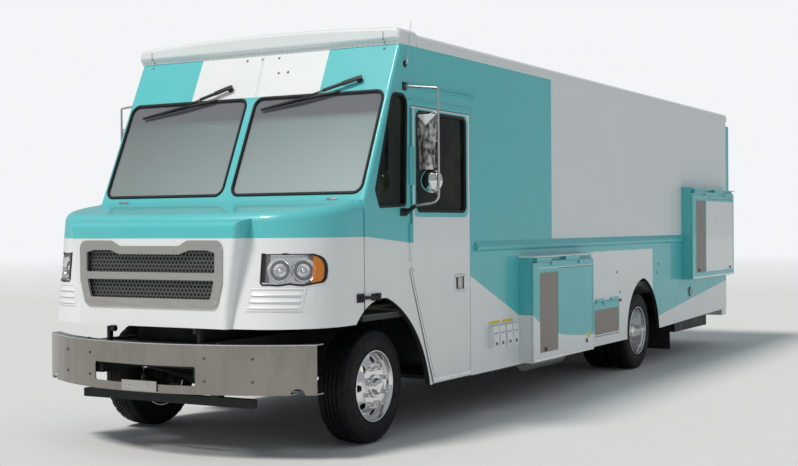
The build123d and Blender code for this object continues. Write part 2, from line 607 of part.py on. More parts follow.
# Name, y and z of the box, then where its mesh and its plain field start and the mesh ends
BOXES = [("front", 2260, 3690, 370, 1285, 140, 580, 550), ("rear", *REAR_BOX_Y, 915, 1985, 140, 560, 530)]
boxes = []
for name, y0, y1, z0, z1, mesh, field, mesh_end in BOXES:
    top = z1 - 45
    face = HALF_WIDTH + BOX_DEPTH
    leaves = ((face, face + 34, top + 11, top + 43), (face + GAP + BOX_DOOR, face + 34, top - 28, top + 3))
    box_fixed, box_moving = hinge((face + 32, top + 7), "y", *leaves, y0 + 60, y1 - 60, 4)
    boxes += (side_box(y0, y1, z0, z1) + box_fixed).solids()
    save(f"service_door_{name}", box_door(y0, y1, z0, top, mesh, field, mesh_end) + box_moving)
save("service_boxes", Compound(boxes))

# Outside fittings

MIRROR_X = HALF_WIDTH + 281
MIRROR_Y = 250
MIRROR_ARMS = ((2593, 2560), (1670, 1670))
mirror_parts = [rod((MIRROR_X, MIRROR_Y, 1660), (MIRROR_X, MIRROR_Y, 2570), 12)]
for wall_z, outer_z in MIRROR_ARMS:
    mirror_parts.append(rod((HALF_WIDTH + 5, MIRROR_Y, wall_z), (MIRROR_X, MIRROR_Y, outer_z), 10))
    foot_y = (MIRROR_Y - 22, MIRROR_Y + 22)
    mirror_parts.append(block(HALF_WIDTH, HALF_WIDTH + 10, *foot_y, wall_z - 30, wall_z + 30))
mirror_parts.append(on_front(rounded(rectangle(MIRROR_X - 174, MIRROR_X - 10, 1985, 2397), 34), 240, 262))
MIRROR_TAPER = 38
back = Plane.XZ.offset(-240) * Pos(MIRROR_X - 92, 2191) * RectangleRounded(164, 412, 34)
mirror_parts.append(extrude(back, amount=25, dir=(0, -1, 0), taper=MIRROR_TAPER))
mirror_parts.append(Pos(MIRROR_X - 70, MIRROR_Y, 1905) * Rot(90, 0, 0) * Cone(52, 72, 24))
mirror_parts.append(block(MIRROR_X - 70, MIRROR_X, 246, 254, 1895, 1915))
save("mirrors", both(joined(mirror_parts)))


def wiper(pivot, joint, blade_start, blade_end):
    """An arm from its pivot down to the blade, given as (x, z) on the screen's face."""
    near = lambda at, off: (at[0], slope_y(at[1]) - off, at[1])
    arm = rod(near(pivot, -6), near(pivot, 40), 22) + rod(near(pivot, 30), near(joint, 30), 10, 6)
    blade = rod(near(blade_start, 16), near(blade_end, 16), 9, 6)
    return arm + [blade, rod(near(joint, 34), near(joint, 14), 10)] - panel


wipers = list(wiper((953, 2638), (466, 2504), (124, 2450), (794, 2556)).solids())
wipers += wiper((-220, 2633), (-640, 2500), (-1032, 2436), (-328, 2550)).solids()
save("wipers", Compound(wipers))
whip = block(HALF_WIDTH, HALF_WIDTH + 17, 255, 279, 2740, 2772)
save("antenna", whip + rod((HALF_WIDTH + 13, 267, 2766), (HALF_WIDTH + 21, 324, 3079), 4, 6))
BELT_LINE = [(0, 1354), (14, 1354), (22, 1364), (22, 1434), (14, 1444), (0, 1444)]
belt = on_front([(HALF_WIDTH + out, z) for out, z in BELT_LINE], 1400, REAR_BOX_Y[0] - 10)
save("belt_rails", belt)
flap_y = WHEELBASE + 1070
save("mud_flaps", both(block(900, HALF_WIDTH - WALL, flap_y, flap_y + 6, 120, 480)))
lamp = Pos(HALF_WIDTH - 139, BODY_END + 9, 1060) * Rot(90, 0, 0) * Cylinder(55, 18)
save("rear_lamps", both(lamp))

# Two pairs of lidded power inlets and the filler on the left, and a marker lamp each side
INLET_W = 110
inlets = []
for y in (1640, 1766, 1907, 2033):
    inlet = block(HALF_WIDTH, HALF_WIDTH + 45, y, y + INLET_W, 552, 730)
    lid = block(HALF_WIDTH + 44, HALF_WIDTH + 52, y + 8, y + INLET_W - 8, 560, 668)
    inlets.append(inlet + lid)
save("power_inlets", Compound(inlets))
filler = Pos(HALF_WIDTH + 6, WHEELBASE + 1733, 758) * Rot(0, 90, 0) * Cylinder(58, 12)
marker = block(HALF_WIDTH, HALF_WIDTH + 14, WHEELBASE - 714, WHEELBASE - 678, 770, 798)
save("filler_and_markers", Compound(list(both(marker).solids()) + [filler]))

# In the cab
DASH_TOP = 1420
WHEEL_AT = (470, 330, 1560)
column = rod(WHEEL_AT, (470, 20, 1262), 26)
dash_line = [(WALL_FRONT, 1062), (-20, 1062), (60, 1180), (60, 1380), (0, DASH_TOP), (WALL_FRONT, DASH_TOP)]
save("dashboard", on_side(dash_line, 69 - HALF_WIDTH, HALF_WIDTH - 69) - column)
rim_ring = extrude(RegularPolygon(231, 20) - RegularPolygon(201, 20), amount=12, both=True)
spokes = [Rot(0, 0, angle) * Pos(108, 0, 0) * Box(216, 30, 12) for angle in (90, 210, 330)]
save("steering_wheel", Pos(*WHEEL_AT) * Rot(-46, 0, 0) * (rim_ring + spokes) + column)
seat = on_side([(700, 1240), (1180, 1240), (1250, 2040), (1170, 2050), (1080, 1370), (700, 1350)], 230, 710)
save("driver_seat", seat + block(370, 570, 800, 1080, FLOOR_Z, 1240))
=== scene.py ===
import math
from functools import reduce

import bmesh
import bpy
from mathutils import Matrix, Vector


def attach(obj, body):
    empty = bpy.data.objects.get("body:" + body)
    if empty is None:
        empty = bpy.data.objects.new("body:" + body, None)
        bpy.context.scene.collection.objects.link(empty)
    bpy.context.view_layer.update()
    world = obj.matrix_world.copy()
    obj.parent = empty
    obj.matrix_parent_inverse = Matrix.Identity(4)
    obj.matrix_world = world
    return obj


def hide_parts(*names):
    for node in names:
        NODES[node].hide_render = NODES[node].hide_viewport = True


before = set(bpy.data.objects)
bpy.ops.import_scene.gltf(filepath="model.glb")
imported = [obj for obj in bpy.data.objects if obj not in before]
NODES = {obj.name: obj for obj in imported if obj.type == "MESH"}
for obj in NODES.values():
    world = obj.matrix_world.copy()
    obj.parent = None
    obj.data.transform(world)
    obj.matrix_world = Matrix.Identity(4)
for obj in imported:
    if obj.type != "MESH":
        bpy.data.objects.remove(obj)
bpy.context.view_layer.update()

# Lengths in metres, from the ground under the front axle's centre: x to the left, y to the rear, z up.
# Each made mesh is moved by SHIFT at the end, as the solids are.
SHIFT = -3.877
WHEELBASE = 5.48
AXLE_Z = 0.4144
RAIL_Z = 2.9
BODY_END = 8.8
# Half of the body's width, over its skins
SKIN = 1.219
# Where the hood meets the body, and the height of its colour line
SEAM_Y = -0.32
HOOD_LINE_Z = 1.493
# The sloped front: its y at RAIL_Z, how far it leans back for each metre up, and which way it faces
SLOPE_TOP_Y = 0.2
SLOPE = 530 / 1170
SLOPE_OUT = (0, -0.9108, 0.4129)
FRONT_OUT = (0, -1, 0)
REAR_OUT = (0, 1, 0)
SIDE_OUT = (1, 0, 0)
MIRROR_MIDDLE = 1.411
MIRROR_TOP = 2.378
MIRROR_HALF = 0.080
FACET_DROP = 0.082
SIDES = (("left", 1), ("right", -1))
CIRCLE = 2 * math.pi


def slope_y(z):
    """The sloped front's y at a height."""
    return SLOPE_TOP_Y - (RAIL_Z - z) * SLOPE


# Camera: the photo's place, aim and focal length

CAMERA_AT = (5.8585, -7.9588 + SHIFT, 1.5637)
CAMERA_YAW = 29.7425
CAMERA_PITCH = -0.2891
CAMERA_ROLL = -0.3856
FOCAL_PX = 1285.72
PHOTO_WIDTH = 798
VIEW_DEPTH = 300


def make_camera():
    yaw, pitch, roll = (math.radians(a) for a in (CAMERA_YAW, CAMERA_PITCH, CAMERA_ROLL))
    ahead = Vector((-math.sin(yaw) * math.cos(pitch), math.cos(yaw) * math.cos(pitch), math.sin(pitch)))
    right = Vector((math.cos(yaw), math.sin(yaw), 0))
    up = right.cross(ahead)
    level = right * math.cos(roll) + up * math.sin(roll)
    upright = up * math.cos(roll) - right * math.sin(roll)
    data = bpy.data.cameras.new("camera")
    data.sensor_width = 36
    data.lens = FOCAL_PX * data.sensor_width / PHOTO_WIDTH
    data.clip_end = VIEW_DEPTH
    camera = bpy.data.objects.new("camera", data)
    bpy.context.scene.collection.objects.link(camera)
    turn = Matrix((level, upright, -ahead)).transposed()
    camera.matrix_world = Matrix.Translation(CAMERA_AT) @ turn.to_4x4()
    bpy.context.scene.camera = camera


# Materials

WHITE = (0.80, 0.82, 0.82)
TEAL = (0.095, 0.54, 0.565)
INSIDE = (0.42, 0.43, 0.43)
BLACK = (0.012, 0.012, 0.013)
DUST = (0.42, 0.40, 0.36)
BARE = (0.36, 0.40, 0.41)


class Nodes:
    """A material's node tree, with short calls for the nodes used here."""

    def __init__(self, name):
        self.material = bpy.data.materials.new(name)
        self.material.use_nodes = True
        self.tree = self.material.node_tree
        self.shader = self.tree.nodes["Principled BSDF"]
        self.place = self.add("TexCoord").outputs["Object"]
        split = self.add("SeparateXYZ")
        self.link(self.place, split.inputs[0])
        self.x, y, self.z = split.outputs
        self.y = self.minus(y, SHIFT)

    def add(self, kind):
        return self.tree.nodes.new("ShaderNode" + kind)

    def link(self, value, socket):
        if isinstance(value, bpy.types.NodeSocket):
            self.tree.links.new(value, socket)
        else:
            socket.default_value = value

    def math(self, operation, a, b=0.0):
        node = self.add("Math")
        node.operation = operation
        self.link(a, node.inputs[0])
        self.link(b, node.inputs[1])
        return node.outputs[0]

    def plus(self, a, b):
        return self.math("ADD", a, b)

    def minus(self, a, b):
        return self.math("SUBTRACT", a, b)

    def times(self, a, b):
        return self.math("MULTIPLY", a, b)

    def larger(self, a, b):
        return self.math("MAXIMUM", a, b)

    def size(self, value):
        return self.math("ABSOLUTE", value)

    def waves(self, value, rate):
        return self.math("SINE", self.times(value, rate))

    def noise(self, scale, detail=2.0, stretch=(1, 1, 1)):
        mapping = self.add("Mapping")
        self.link(stretch, mapping.inputs["Scale"])
        self.link(self.place, mapping.inputs[0])
        node = self.add("TexNoise")
        self.link(scale, node.inputs["Scale"])
        self.link(detail, node.inputs["Detail"])
        self.link(mapping.outputs[0], node.inputs["Vector"])
        return node.outputs[0]

    def ramp(self, value, low, high, out_low=0, out_high=1):
        node = self.add("MapRange")
        for number, socket in zip((value, low, high, out_low, out_high), node.inputs):
            self.link(number, socket)
        return node.outputs[0]

    def mix(self, factor, a, b):
        node = self.add("Mix")
        node.data_type = "RGBA"
        self.link(factor, node.inputs[0])
        for value, socket in ((a, node.inputs[6]), (b, node.inputs[7])):
            self.link((*value, 1) if isinstance(value, tuple) else value, socket)
        return node.outputs[2]

    def bump(self, height, strength, distance=0.001):
        node = self.add("Bump")
        self.link(strength, node.inputs["Strength"])
        self.link(distance, node.inputs["Distance"])
        self.link(height, node.inputs["Height"])
        self.link(node.outputs[0], self.shader.inputs["Normal"])

    def set(self, **values):
        for name, value in values.items():
            value = (*value, 1) if isinstance(value, tuple) and len(value) == 3 else value
            self.link(value, self.shader.inputs[name.replace("_", " ")])
        return self.material

    # Masks are 1 where they hold, and 0 elsewhere

    def below(self, value, limit):
        return self.math("LESS_THAN", value, limit)

    def beyond(self, value, limit):
        return self.math("GREATER_THAN", value, limit)

    def between(self, value, low, high):
        return self.both(self.beyond(value, low), self.below(value, high))

    def within(self, y_range, z_range):
        return self.both(self.between(self.y, *y_range), self.between(self.z, *z_range))

    def both(self, *masks):
        return reduce(self.times, masks)

    def either(self, *masks):
        return reduce(self.larger, masks)

    def other(self, mask):
        return self.minus(1.0, mask)

    def under(self, line):
        """Below the line through its two (y, z) ends."""
        (y0, z0), (y1, z1) = line
        height = self.plus(self.times(self.minus(self.y, y0), (z1 - z0) / (y1 - y0)), z0)
        return self.other(self.beyond(self.z, height))


def gloss_paint(name, white, inside=None, bare=None, under=None):
    """Teal gloss paint with faint dust and ripple; each mask is a function of the nodes, and under paints
    black painted shade.
    """
    n = Nodes(name)
    colour = n.mix(white(n), TEAL, WHITE)
    # under: black painted shade, in the wheel wells and behind the grille
    for mask, paint in ((inside, INSIDE), (under, BLACK)):
        if mask:
            colour = n.mix(mask(n), colour, paint)
    colour = n.mix(n.ramp(n.noise(1.7, 6), 0.35, 0.75, 0.0, 0.05), colour, DUST)
    if bare:
        worn = bare(n)
        colour = n.mix(n.times(worn, 0.55), colour, BARE)
        n.set(Metallic=n.times(worn, 0.6))
    n.bump(n.noise(3.2, 2), 0.10, 0.004)
    rough = n.ramp(n.noise(5, 4), 0.3, 0.7, 0.30, 0.42)
    return n.set(Base_Color=colour, Roughness=rough, Coat_Weight=0.3, Coat_Roughness=0.05)


# Where the colours meet: ranges along y and in height, and lines as their two (y, z) ends

INNER_X = SKIN - 0.03
# Top of the black painted shade in the wheel wells
WELL_TOP_Z = 1.07
DECK_Z = 0.9385
# Where the hood's back is painted black as painted shade behind the grille
HOOD_BACK_Y, HOOD_BACK_X = -1.1535, 0.62
HOOD_BACK_TOP, HOOD_BACK_LOW = (1.05, 1.45), 1.0
STRIPE_X, STRIPE_Z = (-0.59, 0.609), 2.56
DOOR_Y = 0.36
BOX_Y = 2.3
PANEL_Y, PANEL_Z = 2.99, 1.40
LOWER_END_Y, LOWER_TOP_Z = 5.833, 1.30
SKIRT_Y = 5.9
FILLER_Y = 7.0
BETWEEN_BOXES_Y = 5.0
LID_Z = 1.2855
LOUVRE_Y = (4.03, 4.76)
EDGE_Y, EDGE_Z = 0.348, 1.441
TINT_BAND_Z = (2.34, 2.40)
CAB_LINE = ((SEAM_Y, 1.496), (0.347, 1.441))
FORE_LINE = ((1.309, 1.165), (2.274, 0.782))
SKIRT_LINE = ((6.045, 0.543), (8.507, 0.806))
HINGE_Z = (0.70, 0.84)
PIN_LINES = ((1.244, 1.250), (1.944, 1.950))
REAR_BOX_PANEL = ((7.45, 8.648), (0.993, 1.848))
DOOR_RING = ((0.374, 1.283), (1.629, 2.444))
# The curved sweep: where it starts, how fast it falls, how far, and what it ends at
SWEEP_Y, SWEEP_RATE, SWEEP_DROP, SWEEP_FOOT = 2.26, 2.2, 0.277, 0.51


def wall_inside(n):
    return n.both(n.below(n.size(n.x), INNER_X), n.below(n.z, RAIL_Z), n.beyond(n.y, SEAM_Y + 0.04))


def wheel_well_painted_shade(n):
    """Painted shade: the cut edges and inner sides of the walls round the wheels, below the floor, painted
    black.
    """
    return n.both(n.below(n.size(n.x), SKIN - 0.0012), n.below(n.z, WELL_TOP_Z))


def grille_painted_shade(n):
    """Painted shade: the hood's back, seen through the grille, painted black."""
    behind = n.both(n.beyond(n.y, HOOD_BACK_Y), n.below(n.size(n.x), HOOD_BACK_X))
    return n.both(behind, n.either(n.between(n.z, *HOOD_BACK_TOP), n.below(n.z, HOOD_BACK_LOW)))


def front_inside(n):
    """Behind the sloped front, and behind the firewall below it."""
    behind = n.beyond(n.minus(n.y, n.times(n.z, SLOPE)), SLOPE_TOP_Y - RAIL_Z * SLOPE + 0.02)
    return n.both(n.below(n.size(n.x), INNER_X), behind, n.beyond(n.y, SEAM_Y + 0.02))


def box_hinges(n):
    """The thin bright line of the hinge pins at the tops of the box doors."""
    return n.both(n.beyond(n.x, SKIN + 0.147), n.either(*[n.between(n.z, *line) for line in PIN_LINES]))


def side_white(n):
    """White on the body's sides: the upper panel, the lower panels and the sweep along the skirt."""
    cab = n.both(n.below(n.y, DOOR_Y), n.under(CAB_LINE))
    fore = n.both(n.between(n.y, DOOR_Y, BOX_Y), n.under(FORE_LINE))
    upper = n.both(n.beyond(n.y, PANEL_Y), n.beyond(n.z, PANEL_Z))
    hinge = n.both(n.beyond(n.x, SKIN + 0.0006), n.within(LOUVRE_Y, HINGE_Z))
    lower = n.both(n.between(n.y, PANEL_Y, LOWER_END_Y), n.below(n.z, LOWER_TOP_Z), n.other(hinge))
    rear = n.both(n.beyond(n.y, SKIRT_Y), n.under(SKIRT_LINE))
    return n.either(cab, fore, upper, lower, rear)


def sweep_white(n):
    """White below the curve that runs down across the front service box and the louvred door."""
    fall = n.math("EXPONENT", n.times(n.minus(n.y, SWEEP_Y), -SWEEP_RATE))
    return n.below(n.z, n.plus(n.times(fall, SWEEP_DROP), SWEEP_FOOT))


def box_white(n):
    panel = n.both(n.within(*REAR_BOX_PANEL), n.beyond(n.x, SKIN + 0.125))
    front_box = n.below(n.y, BETWEEN_BOXES_Y)
    return n.either(n.both(front_box, n.either(sweep_white(n), n.beyond(n.z, LID_Z))), panel)


def hood_white(n):
    return n.below(n.z, HOOD_LINE_Z)


def front_white(n):
    return n.either(n.both(n.between(n.x, *STRIPE_X), n.beyond(n.z, STRIPE_Z)), hood_white(n))


def door_white(n):
    """White but for the ring round the window and the front edge beside it."""
    ring = n.both(n.within(*DOOR_RING), n.beyond(n.size(n.x), SKIN + 0.001))
    edge = n.both(n.below(n.y, EDGE_Y), n.beyond(n.z, EDGE_Z))
    return n.other(n.either(ring, edge))


def all_white(n):
    return 1.0


def all_teal(n):
    return 0.0


def shaded(colour, share):
    return tuple(part * share for part in colour)


def metal(name, colour, rough_low, rough_high, grain=(1, 1, 1), scale=8, strength=0.05):
    n = Nodes(name)
    spots = n.noise(scale, 6, grain)
    n.set(Base_Color=n.mix(n.ramp(spots, 0.3, 0.7, 0, 0.35), colour, shaded(colour, 0.72)))
    n.set(Roughness=n.ramp(spots, 0.3, 0.7, rough_low, rough_high))
    n.bump(n.noise(scale * 9, 3, grain), strength, 0.0006)
    return n.set(Metallic=1.0)


def mirror_painted_reflections():
    """Chrome with painted reflections: a dark and light mottle, and a bright painted highlight across the top
    facet.
    """
    n = Nodes("mirror_painted_reflections")
    across = n.size(n.minus(n.size(n.x), MIRROR_MIDDLE))
    painted_highlight_edge = n.plus(MIRROR_TOP - FACET_DROP, n.times(across, FACET_DROP / MIRROR_HALF))
    # painted reflection: mottle between dark and light chrome
    painted_reflection = n.ramp(n.noise(38, 5, (1, 1, 0.5)), 0.38, 0.66)
    colour = n.mix(painted_reflection, (0.05, 0.055, 0.055), (0.55, 0.56, 0.55))
    n.bump(n.noise(24, 3), 0.3, 0.002)
    # painted highlight: the top facet painted near white
    n.set(Base_Color=n.mix(n.beyond(n.z, painted_highlight_edge), colour, (0.88, 0.90, 0.90)))
    return n.set(Roughness=0.16, Metallic=0.6)


def deck_metal():
    """Ribbed steel on top, black undercoat below."""
    n = Nodes("floor_steel")
    top = n.beyond(n.z, DECK_Z)
    n.bump(n.waves(n.y, 300.0), 0.2, 0.001)
    return n.set(Base_Color=n.mix(top, BLACK, (0.42, 0.42, 0.41)), Metallic=n.times(top, 0.9), Roughness=0.5)


def filler_finish():
    """Red marker lamps and the dark teal filler cap."""
    n = Nodes("markers_and_filler")
    n.bump(n.noise(90, 2), 0.1, 0.0005)
    colour = n.mix(n.beyond(n.y, FILLER_Y), (0.42, 0.03, 0.02), (0.02, 0.10, 0.10))
    return n.set(Base_Color=colour, Roughness=0.3, Coat_Weight=0.4)


def plastic(name, colour, rough, scale=60, strength=0.25):
    n = Nodes(name)
    worn = tuple(min(1, part * 1.5 + 0.01) for part in colour)
    n.bump(n.noise(scale, 3), strength, 0.0008)
    n.set(Base_Color=n.mix(n.ramp(n.noise(7, 4), 0.35, 0.7, 0, 0.4), colour, worn))
    rough = n.ramp(n.noise(11, 3), 0.3, 0.7, rough - 0.07, rough + 0.07)
    return n.set(Roughness=rough, Specular_IOR_Level=0.3)


def painted_reflection_blotches(n, dark, light):
    """Painted reflection on glass: two dark tones in soft blotches."""
    return n.mix(n.ramp(n.noise(5.5, 6), 0.42, 0.66), dark, light)


def side_glass():
    n = Nodes("side_glass")
    # painted reflection: the side glass's colour is dark green-grey blotches
    colour = painted_reflection_blotches(n, (0.006, 0.010, 0.010), (0.022, 0.026, 0.014))
    return n.set(Base_Color=colour, Roughness=0.03, Alpha=0.94, Specular_IOR_Level=0.12)


def screen_glass():
    """Windscreens with a darker band along the top over a painted reflection, pale grey, lighter towards +x
    and towards the bottom; the quarter windows in the same node are dark, with painted reflection blotches.
    """
    n = Nodes("screen_glass")
    band = n.ramp(n.z, *TINT_BAND_Z)
    side = n.beyond(n.size(n.x), INNER_X)
    # painted reflection: the windscreens' pale grey, lighter towards +x and lower down
    across = n.ramp(n.x, -1.0, 1.0)
    low = n.mix(across, (0.42, 0.48, 0.47), (0.66, 0.75, 0.75))
    high = n.mix(across, (0.28, 0.33, 0.33), (0.44, 0.52, 0.53))
    colour = n.mix(band, n.mix(n.ramp(n.z, 1.8, 2.4), low, high), (0.19, 0.195, 0.215))
    colour = n.mix(side, colour, painted_reflection_blotches(n, (0.006, 0.010, 0.010), (0.020, 0.026, 0.014)))
    opacity = n.larger(n.ramp(band, 0, 1, 0.5, 0.8), n.times(side, 0.94))
    n.set(Base_Color=colour, Alpha=opacity, Roughness=0.03, Specular_IOR_Level=n.ramp(side, 0, 1, 0.5, 0.12))
    return n.set(Coat_Weight=n.other(side), Coat_Roughness=0.02)


def headlamp_lens():
    """Clear, with an amber outer end, a black strip along the inner end and a white upper outer corner."""
    n = Nodes("headlamp_lens")
    across = n.size(n.x)
    strip_end, amber_start = 0.873, 1.122
    corner_x, corner_z, reach, rise = 1.118, 1.325, 0.056, 0.058
    strip = n.below(across, strip_end)
    amber = n.beyond(across, amber_start)
    out = n.math("DIVIDE", n.minus(across, corner_x), reach)
    up = n.math("DIVIDE", n.minus(n.z, corner_z), rise)
    away = n.plus(n.times(out, out), n.times(up, up))
    corner = n.both(n.beyond(away, 1.0), n.beyond(across, corner_x), n.beyond(n.z, corner_z))
    colour = n.mix(amber, (0.92, 0.94, 0.95), (0.80, 0.24, 0.01))
    colour = n.mix(corner, n.mix(strip, colour, (0.008, 0.008, 0.009)), WHITE)
    opacity = n.either(n.times(amber, 0.80), n.larger(strip, 0.10), corner)
    n.bump(n.waves(n.x, 700.0), 0.04, 0.0004)
    return n.set(Base_Color=colour, Alpha=opacity, Roughness=0.03, Coat_Weight=1.0)


def red_lens():
    n = Nodes("red_lens")
    colour = (0.50, 0.01, 0.01)
    ribs = n.waves(n.z, 900.0)
    n.bump(ribs, 0.15, 0.0005)
    n.set(Base_Color=n.mix(n.ramp(ribs, -1, 1, 0, 0.3), colour, shaded(colour, 0.7)))
    return n.set(Roughness=0.08, Alpha=0.95, Coat_Weight=1.0)


def tyre_rubber():
    n = Nodes("tyre_rubber")
    dust = n.ramp(n.noise(9, 6), 0.4, 0.75, 0, 0.5)
    n.bump(n.noise(220, 3), 0.2, 0.0008)
    n.set(Base_Color=n.mix(dust, (0.006, 0.006, 0.007), (0.016, 0.0155, 0.015)))
    return n.set(Roughness=n.ramp(n.noise(20, 4), 0.3, 0.7, 0.5, 0.72), Specular_IOR_Level=0.2)


def perforated(name, pitch, hole, plane, colour):
    """Sheet metal with rows of round holes, offset each row, as dark pits with a bump; the holes are painted
    near black as painted shade behind the sheet.
    """
    n = Nodes(name)
    row_pitch = 0.866
    u = n.math("DIVIDE", n.x if plane == "front" else n.y, pitch)
    v = n.math("DIVIDE", n.z, pitch * row_pitch)
    row = n.math("FLOOR", v)
    shift = n.times(n.math("PINGPONG", row, 1.0), 0.5)
    across = n.minus(n.math("FRACT", n.plus(u, shift)), 0.5)
    along = n.times(n.minus(n.minus(v, row), 0.5), row_pitch)
    gone = n.math("SQRT", n.plus(n.times(across, across), n.times(along, along)))
    solid = n.ramp(gone, hole - 0.04, hole + 0.04)
    n.bump(solid, 0.6, 0.002)
    # the holes' near black is painted shade behind the sheet
    n.set(Base_Color=n.mix(solid, (0.005, 0.005, 0.005), colour))
    return n.set(Roughness=n.ramp(solid, 0, 1, 0.9, 0.45), Metallic=n.times(solid, 0.7))


def vinyl():
    n = Nodes("seat_vinyl")
    n.bump(n.noise(260, 2), 0.3, 0.0008)
    return n.set(Base_Color=n.mix(n.noise(40, 3), (0.03, 0.03, 0.033), (0.055, 0.055, 0.06)), Roughness=0.55)


MATERIALS = {}


def make_materials():
    m = MATERIALS
    m["wall"] = gloss_paint("wall_paint", side_white, inside=wall_inside, under=wheel_well_painted_shade)
    m["front"] = gloss_paint("front_paint", front_white, inside=front_inside, under=wheel_well_painted_shade)
    m["hood"] = gloss_paint("hood_paint", hood_white, under=grille_painted_shade)
    m["door"] = gloss_paint("door_paint", door_white, inside=wall_inside)
    m["box"] = gloss_paint("box_paint", box_white, bare=box_hinges)
    m["louvre"] = gloss_paint("louvre_paint", sweep_white)
    m["white"] = gloss_paint("white_paint", all_white)
    m["teal"] = gloss_paint("teal_paint", all_teal)
    m["dull"] = metal("dull_screws", (0.16, 0.155, 0.15), 0.35, 0.5, scale=40, strength=0.1)
    m["aluminium"] = metal("satin_aluminium", (0.72, 0.73, 0.74), 0.22, 0.34, scale=7, strength=0.05)
    m["chrome"] = metal("polished_chrome", (0.80, 0.80, 0.79), 0.04, 0.12, scale=4, strength=0.02)
    m["bumper"] = metal("bumper_steel", (0.33, 0.305, 0.275), 0.14, 0.30, (1, 1, 0.35), 9, 0.10)
    m["mirror_painted_reflections"] = mirror_painted_reflections()
    m["alloy"] = metal("polished_alloy", (0.80, 0.80, 0.80), 0.07, 0.16, scale=6, strength=0.02)
    m["steel"] = metal("brushed_steel", (0.55, 0.53, 0.50), 0.28, 0.42, (1, 1, 14), 5, 0.12)
    m["floor_steel"] = deck_metal()
    m["muffler"] = metal("muffler_steel", (0.50, 0.50, 0.50), 0.30, 0.45, scale=10, strength=0.15)
    m["cast"] = metal("cast_iron", (0.05, 0.05, 0.05), 0.55, 0.75, scale=14, strength=0.4)
    m["chassis"] = plastic("chassis_paint", BLACK, 0.5, scale=35)
    m["trim"] = plastic("black_trim", BLACK, 0.42)
    m["rubber"] = plastic("black_rubber", (0.01, 0.01, 0.01), 0.55, scale=110)
    m["tyre"] = tyre_rubber()
    m["screen"] = screen_glass()
    m["side_glass"] = side_glass()
    m["mirror_glass"] = metal("mirror_glass", (0.72, 0.75, 0.76), 0.02, 0.04, scale=3, strength=0.0)
    m["lamp"] = headlamp_lens()
    m["reflector"] = metal("reflector", (0.86, 0.87, 0.88), 0.03, 0.08, scale=30, strength=0.1)
    m["filler"] = filler_finish()
    m["red"] = red_lens()
    m["grille"] = perforated("grille_mesh_sheet", 0.031, 0.345, "front", (0.13, 0.13, 0.13))
    m["panel_mesh"] = perforated("panel_mesh_sheet", 0.011, 0.24, "side", (0.40, 0.36, 0.33))
    m["vinyl"] = vinyl()
    m["label"] = plastic("blank_label", (0.75, 0.62, 0.06), 0.4)


def pair(name):
    return [f"{name}_{side}" for side, sign in SIDES]


NODE_MATERIALS = {
    "wall": ["left_side_wall", "right_side_wall"],
    "front": ["windscreen_panel"],
    "hood": ["hood_shell"],
    "door": pair("cab_door"),
    "box": ["service_boxes", "service_door_front", "service_door_rear"],
    "louvre": ["louvre_door"],
    "white": [
        "roof_shell", "front_cap", "serving_hatch", "rear_wall", "rear_door", "rear_bumper", "power_inlets",
    ],
    "teal": ["belt_rails", "rear_cabinet"],
    "chrome": ["mirrors"],
    "bumper": ["front_bumper"],
    "alloy": pair("front_wheel") + pair("rear_wheels"),
    "steel": ["grille_frame", "plate_bracket", "serving_counter", "driveshaft"],
    "muffler": ["exhaust"],
    "filler": ["filler_and_markers"],
    "floor_steel": ["floor_deck"],
    "cast": ["front_axle", "rear_axle", "leaf_springs", "engine_block"] + pair("knuckle"),
    "chassis": ["chassis_frame", "underbody_tanks"],
    "trim": ["wipers", "antenna", "dashboard", "steering_wheel"],
    "reflector": ["headlamp_trays"],
    "rubber": ["hood_latches", "mud_flaps"],
    "tyre": pair("front_tyre") + pair("rear_tyres"),
    "screen": ["fixed_glass"],
    "side_glass": pair("cab_door_glass") + ["rear_door_glass"],
    "lamp": ["headlamps"],
    "red": ["rear_lamps"],
    "grille": ["grille_mesh"],
    "vinyl": ["driver_seat"],
}


def dress_nodes():
    for key, names in NODE_MATERIALS.items():
        for name in names:
            materials = NODES[name].data.materials
            materials.clear()
            materials.append(MATERIALS[key])


# Shapes: simple forms put together, then saved as one piece


def rounded(points, radius, steps=6):
    """A 2-D outline, made counterclockwise, with round corners; radius is one value or one per corner."""
    count = len(points)
    corners = list(zip(points, radius if isinstance(radius, list) else [radius] * count))
    area = sum(points[k - 1][0] * points[k][1] - points[k][0] * points[k - 1][1] for k in range(count))
    if area < 0:
        corners.reverse()
    outline = []
    for k, (point, r) in enumerate(corners):
        here = Vector(point)
        back = (Vector(corners[k - 1][0]) - here).normalized()
        ahead = (Vector(corners[(k + 1) % count][0]) - here).normalized()
        half = back.angle(ahead) / 2
        centre = here + (back + ahead).normalized() * r / math.sin(half)
        start = here + back * r / math.tan(half) - centre
        end = here + ahead * r / math.tan(half) - centre
        turn = math.atan2(start.x * end.y - start.y * end.x, start.dot(end))
        outline += [centre + Matrix.Rotation(turn * s / steps, 2) @ start for s in range(steps + 1)]
    return outline


def rectangle(a0, a1, b0, b1):
    return [(a0, b0), (a1, b0), (a1, b1), (a0, b1)]


def on_slope(x, z, height=0.0):
    """A point on the sloped front, height in front of it."""
    return Vector((x, slope_y(z), z)) + Vector(SLOPE_OUT) * height


# The hood in plan: the front arc ends where the corner's begins, and the whole leans back about its foot
HOOD_FRONT, HOOD_FOOT = -1.150, 0.890
FRONT_ARC_R, FRONT_ARC_END = 5.0, 0.780
CORNER_R, CORNER_X, CORNER_Y = 0.52, 0.699, -0.5751
LEAN_COS, LEAN_SIN, LEAN_TAN = 0.99345, 0.11424, 0.11499


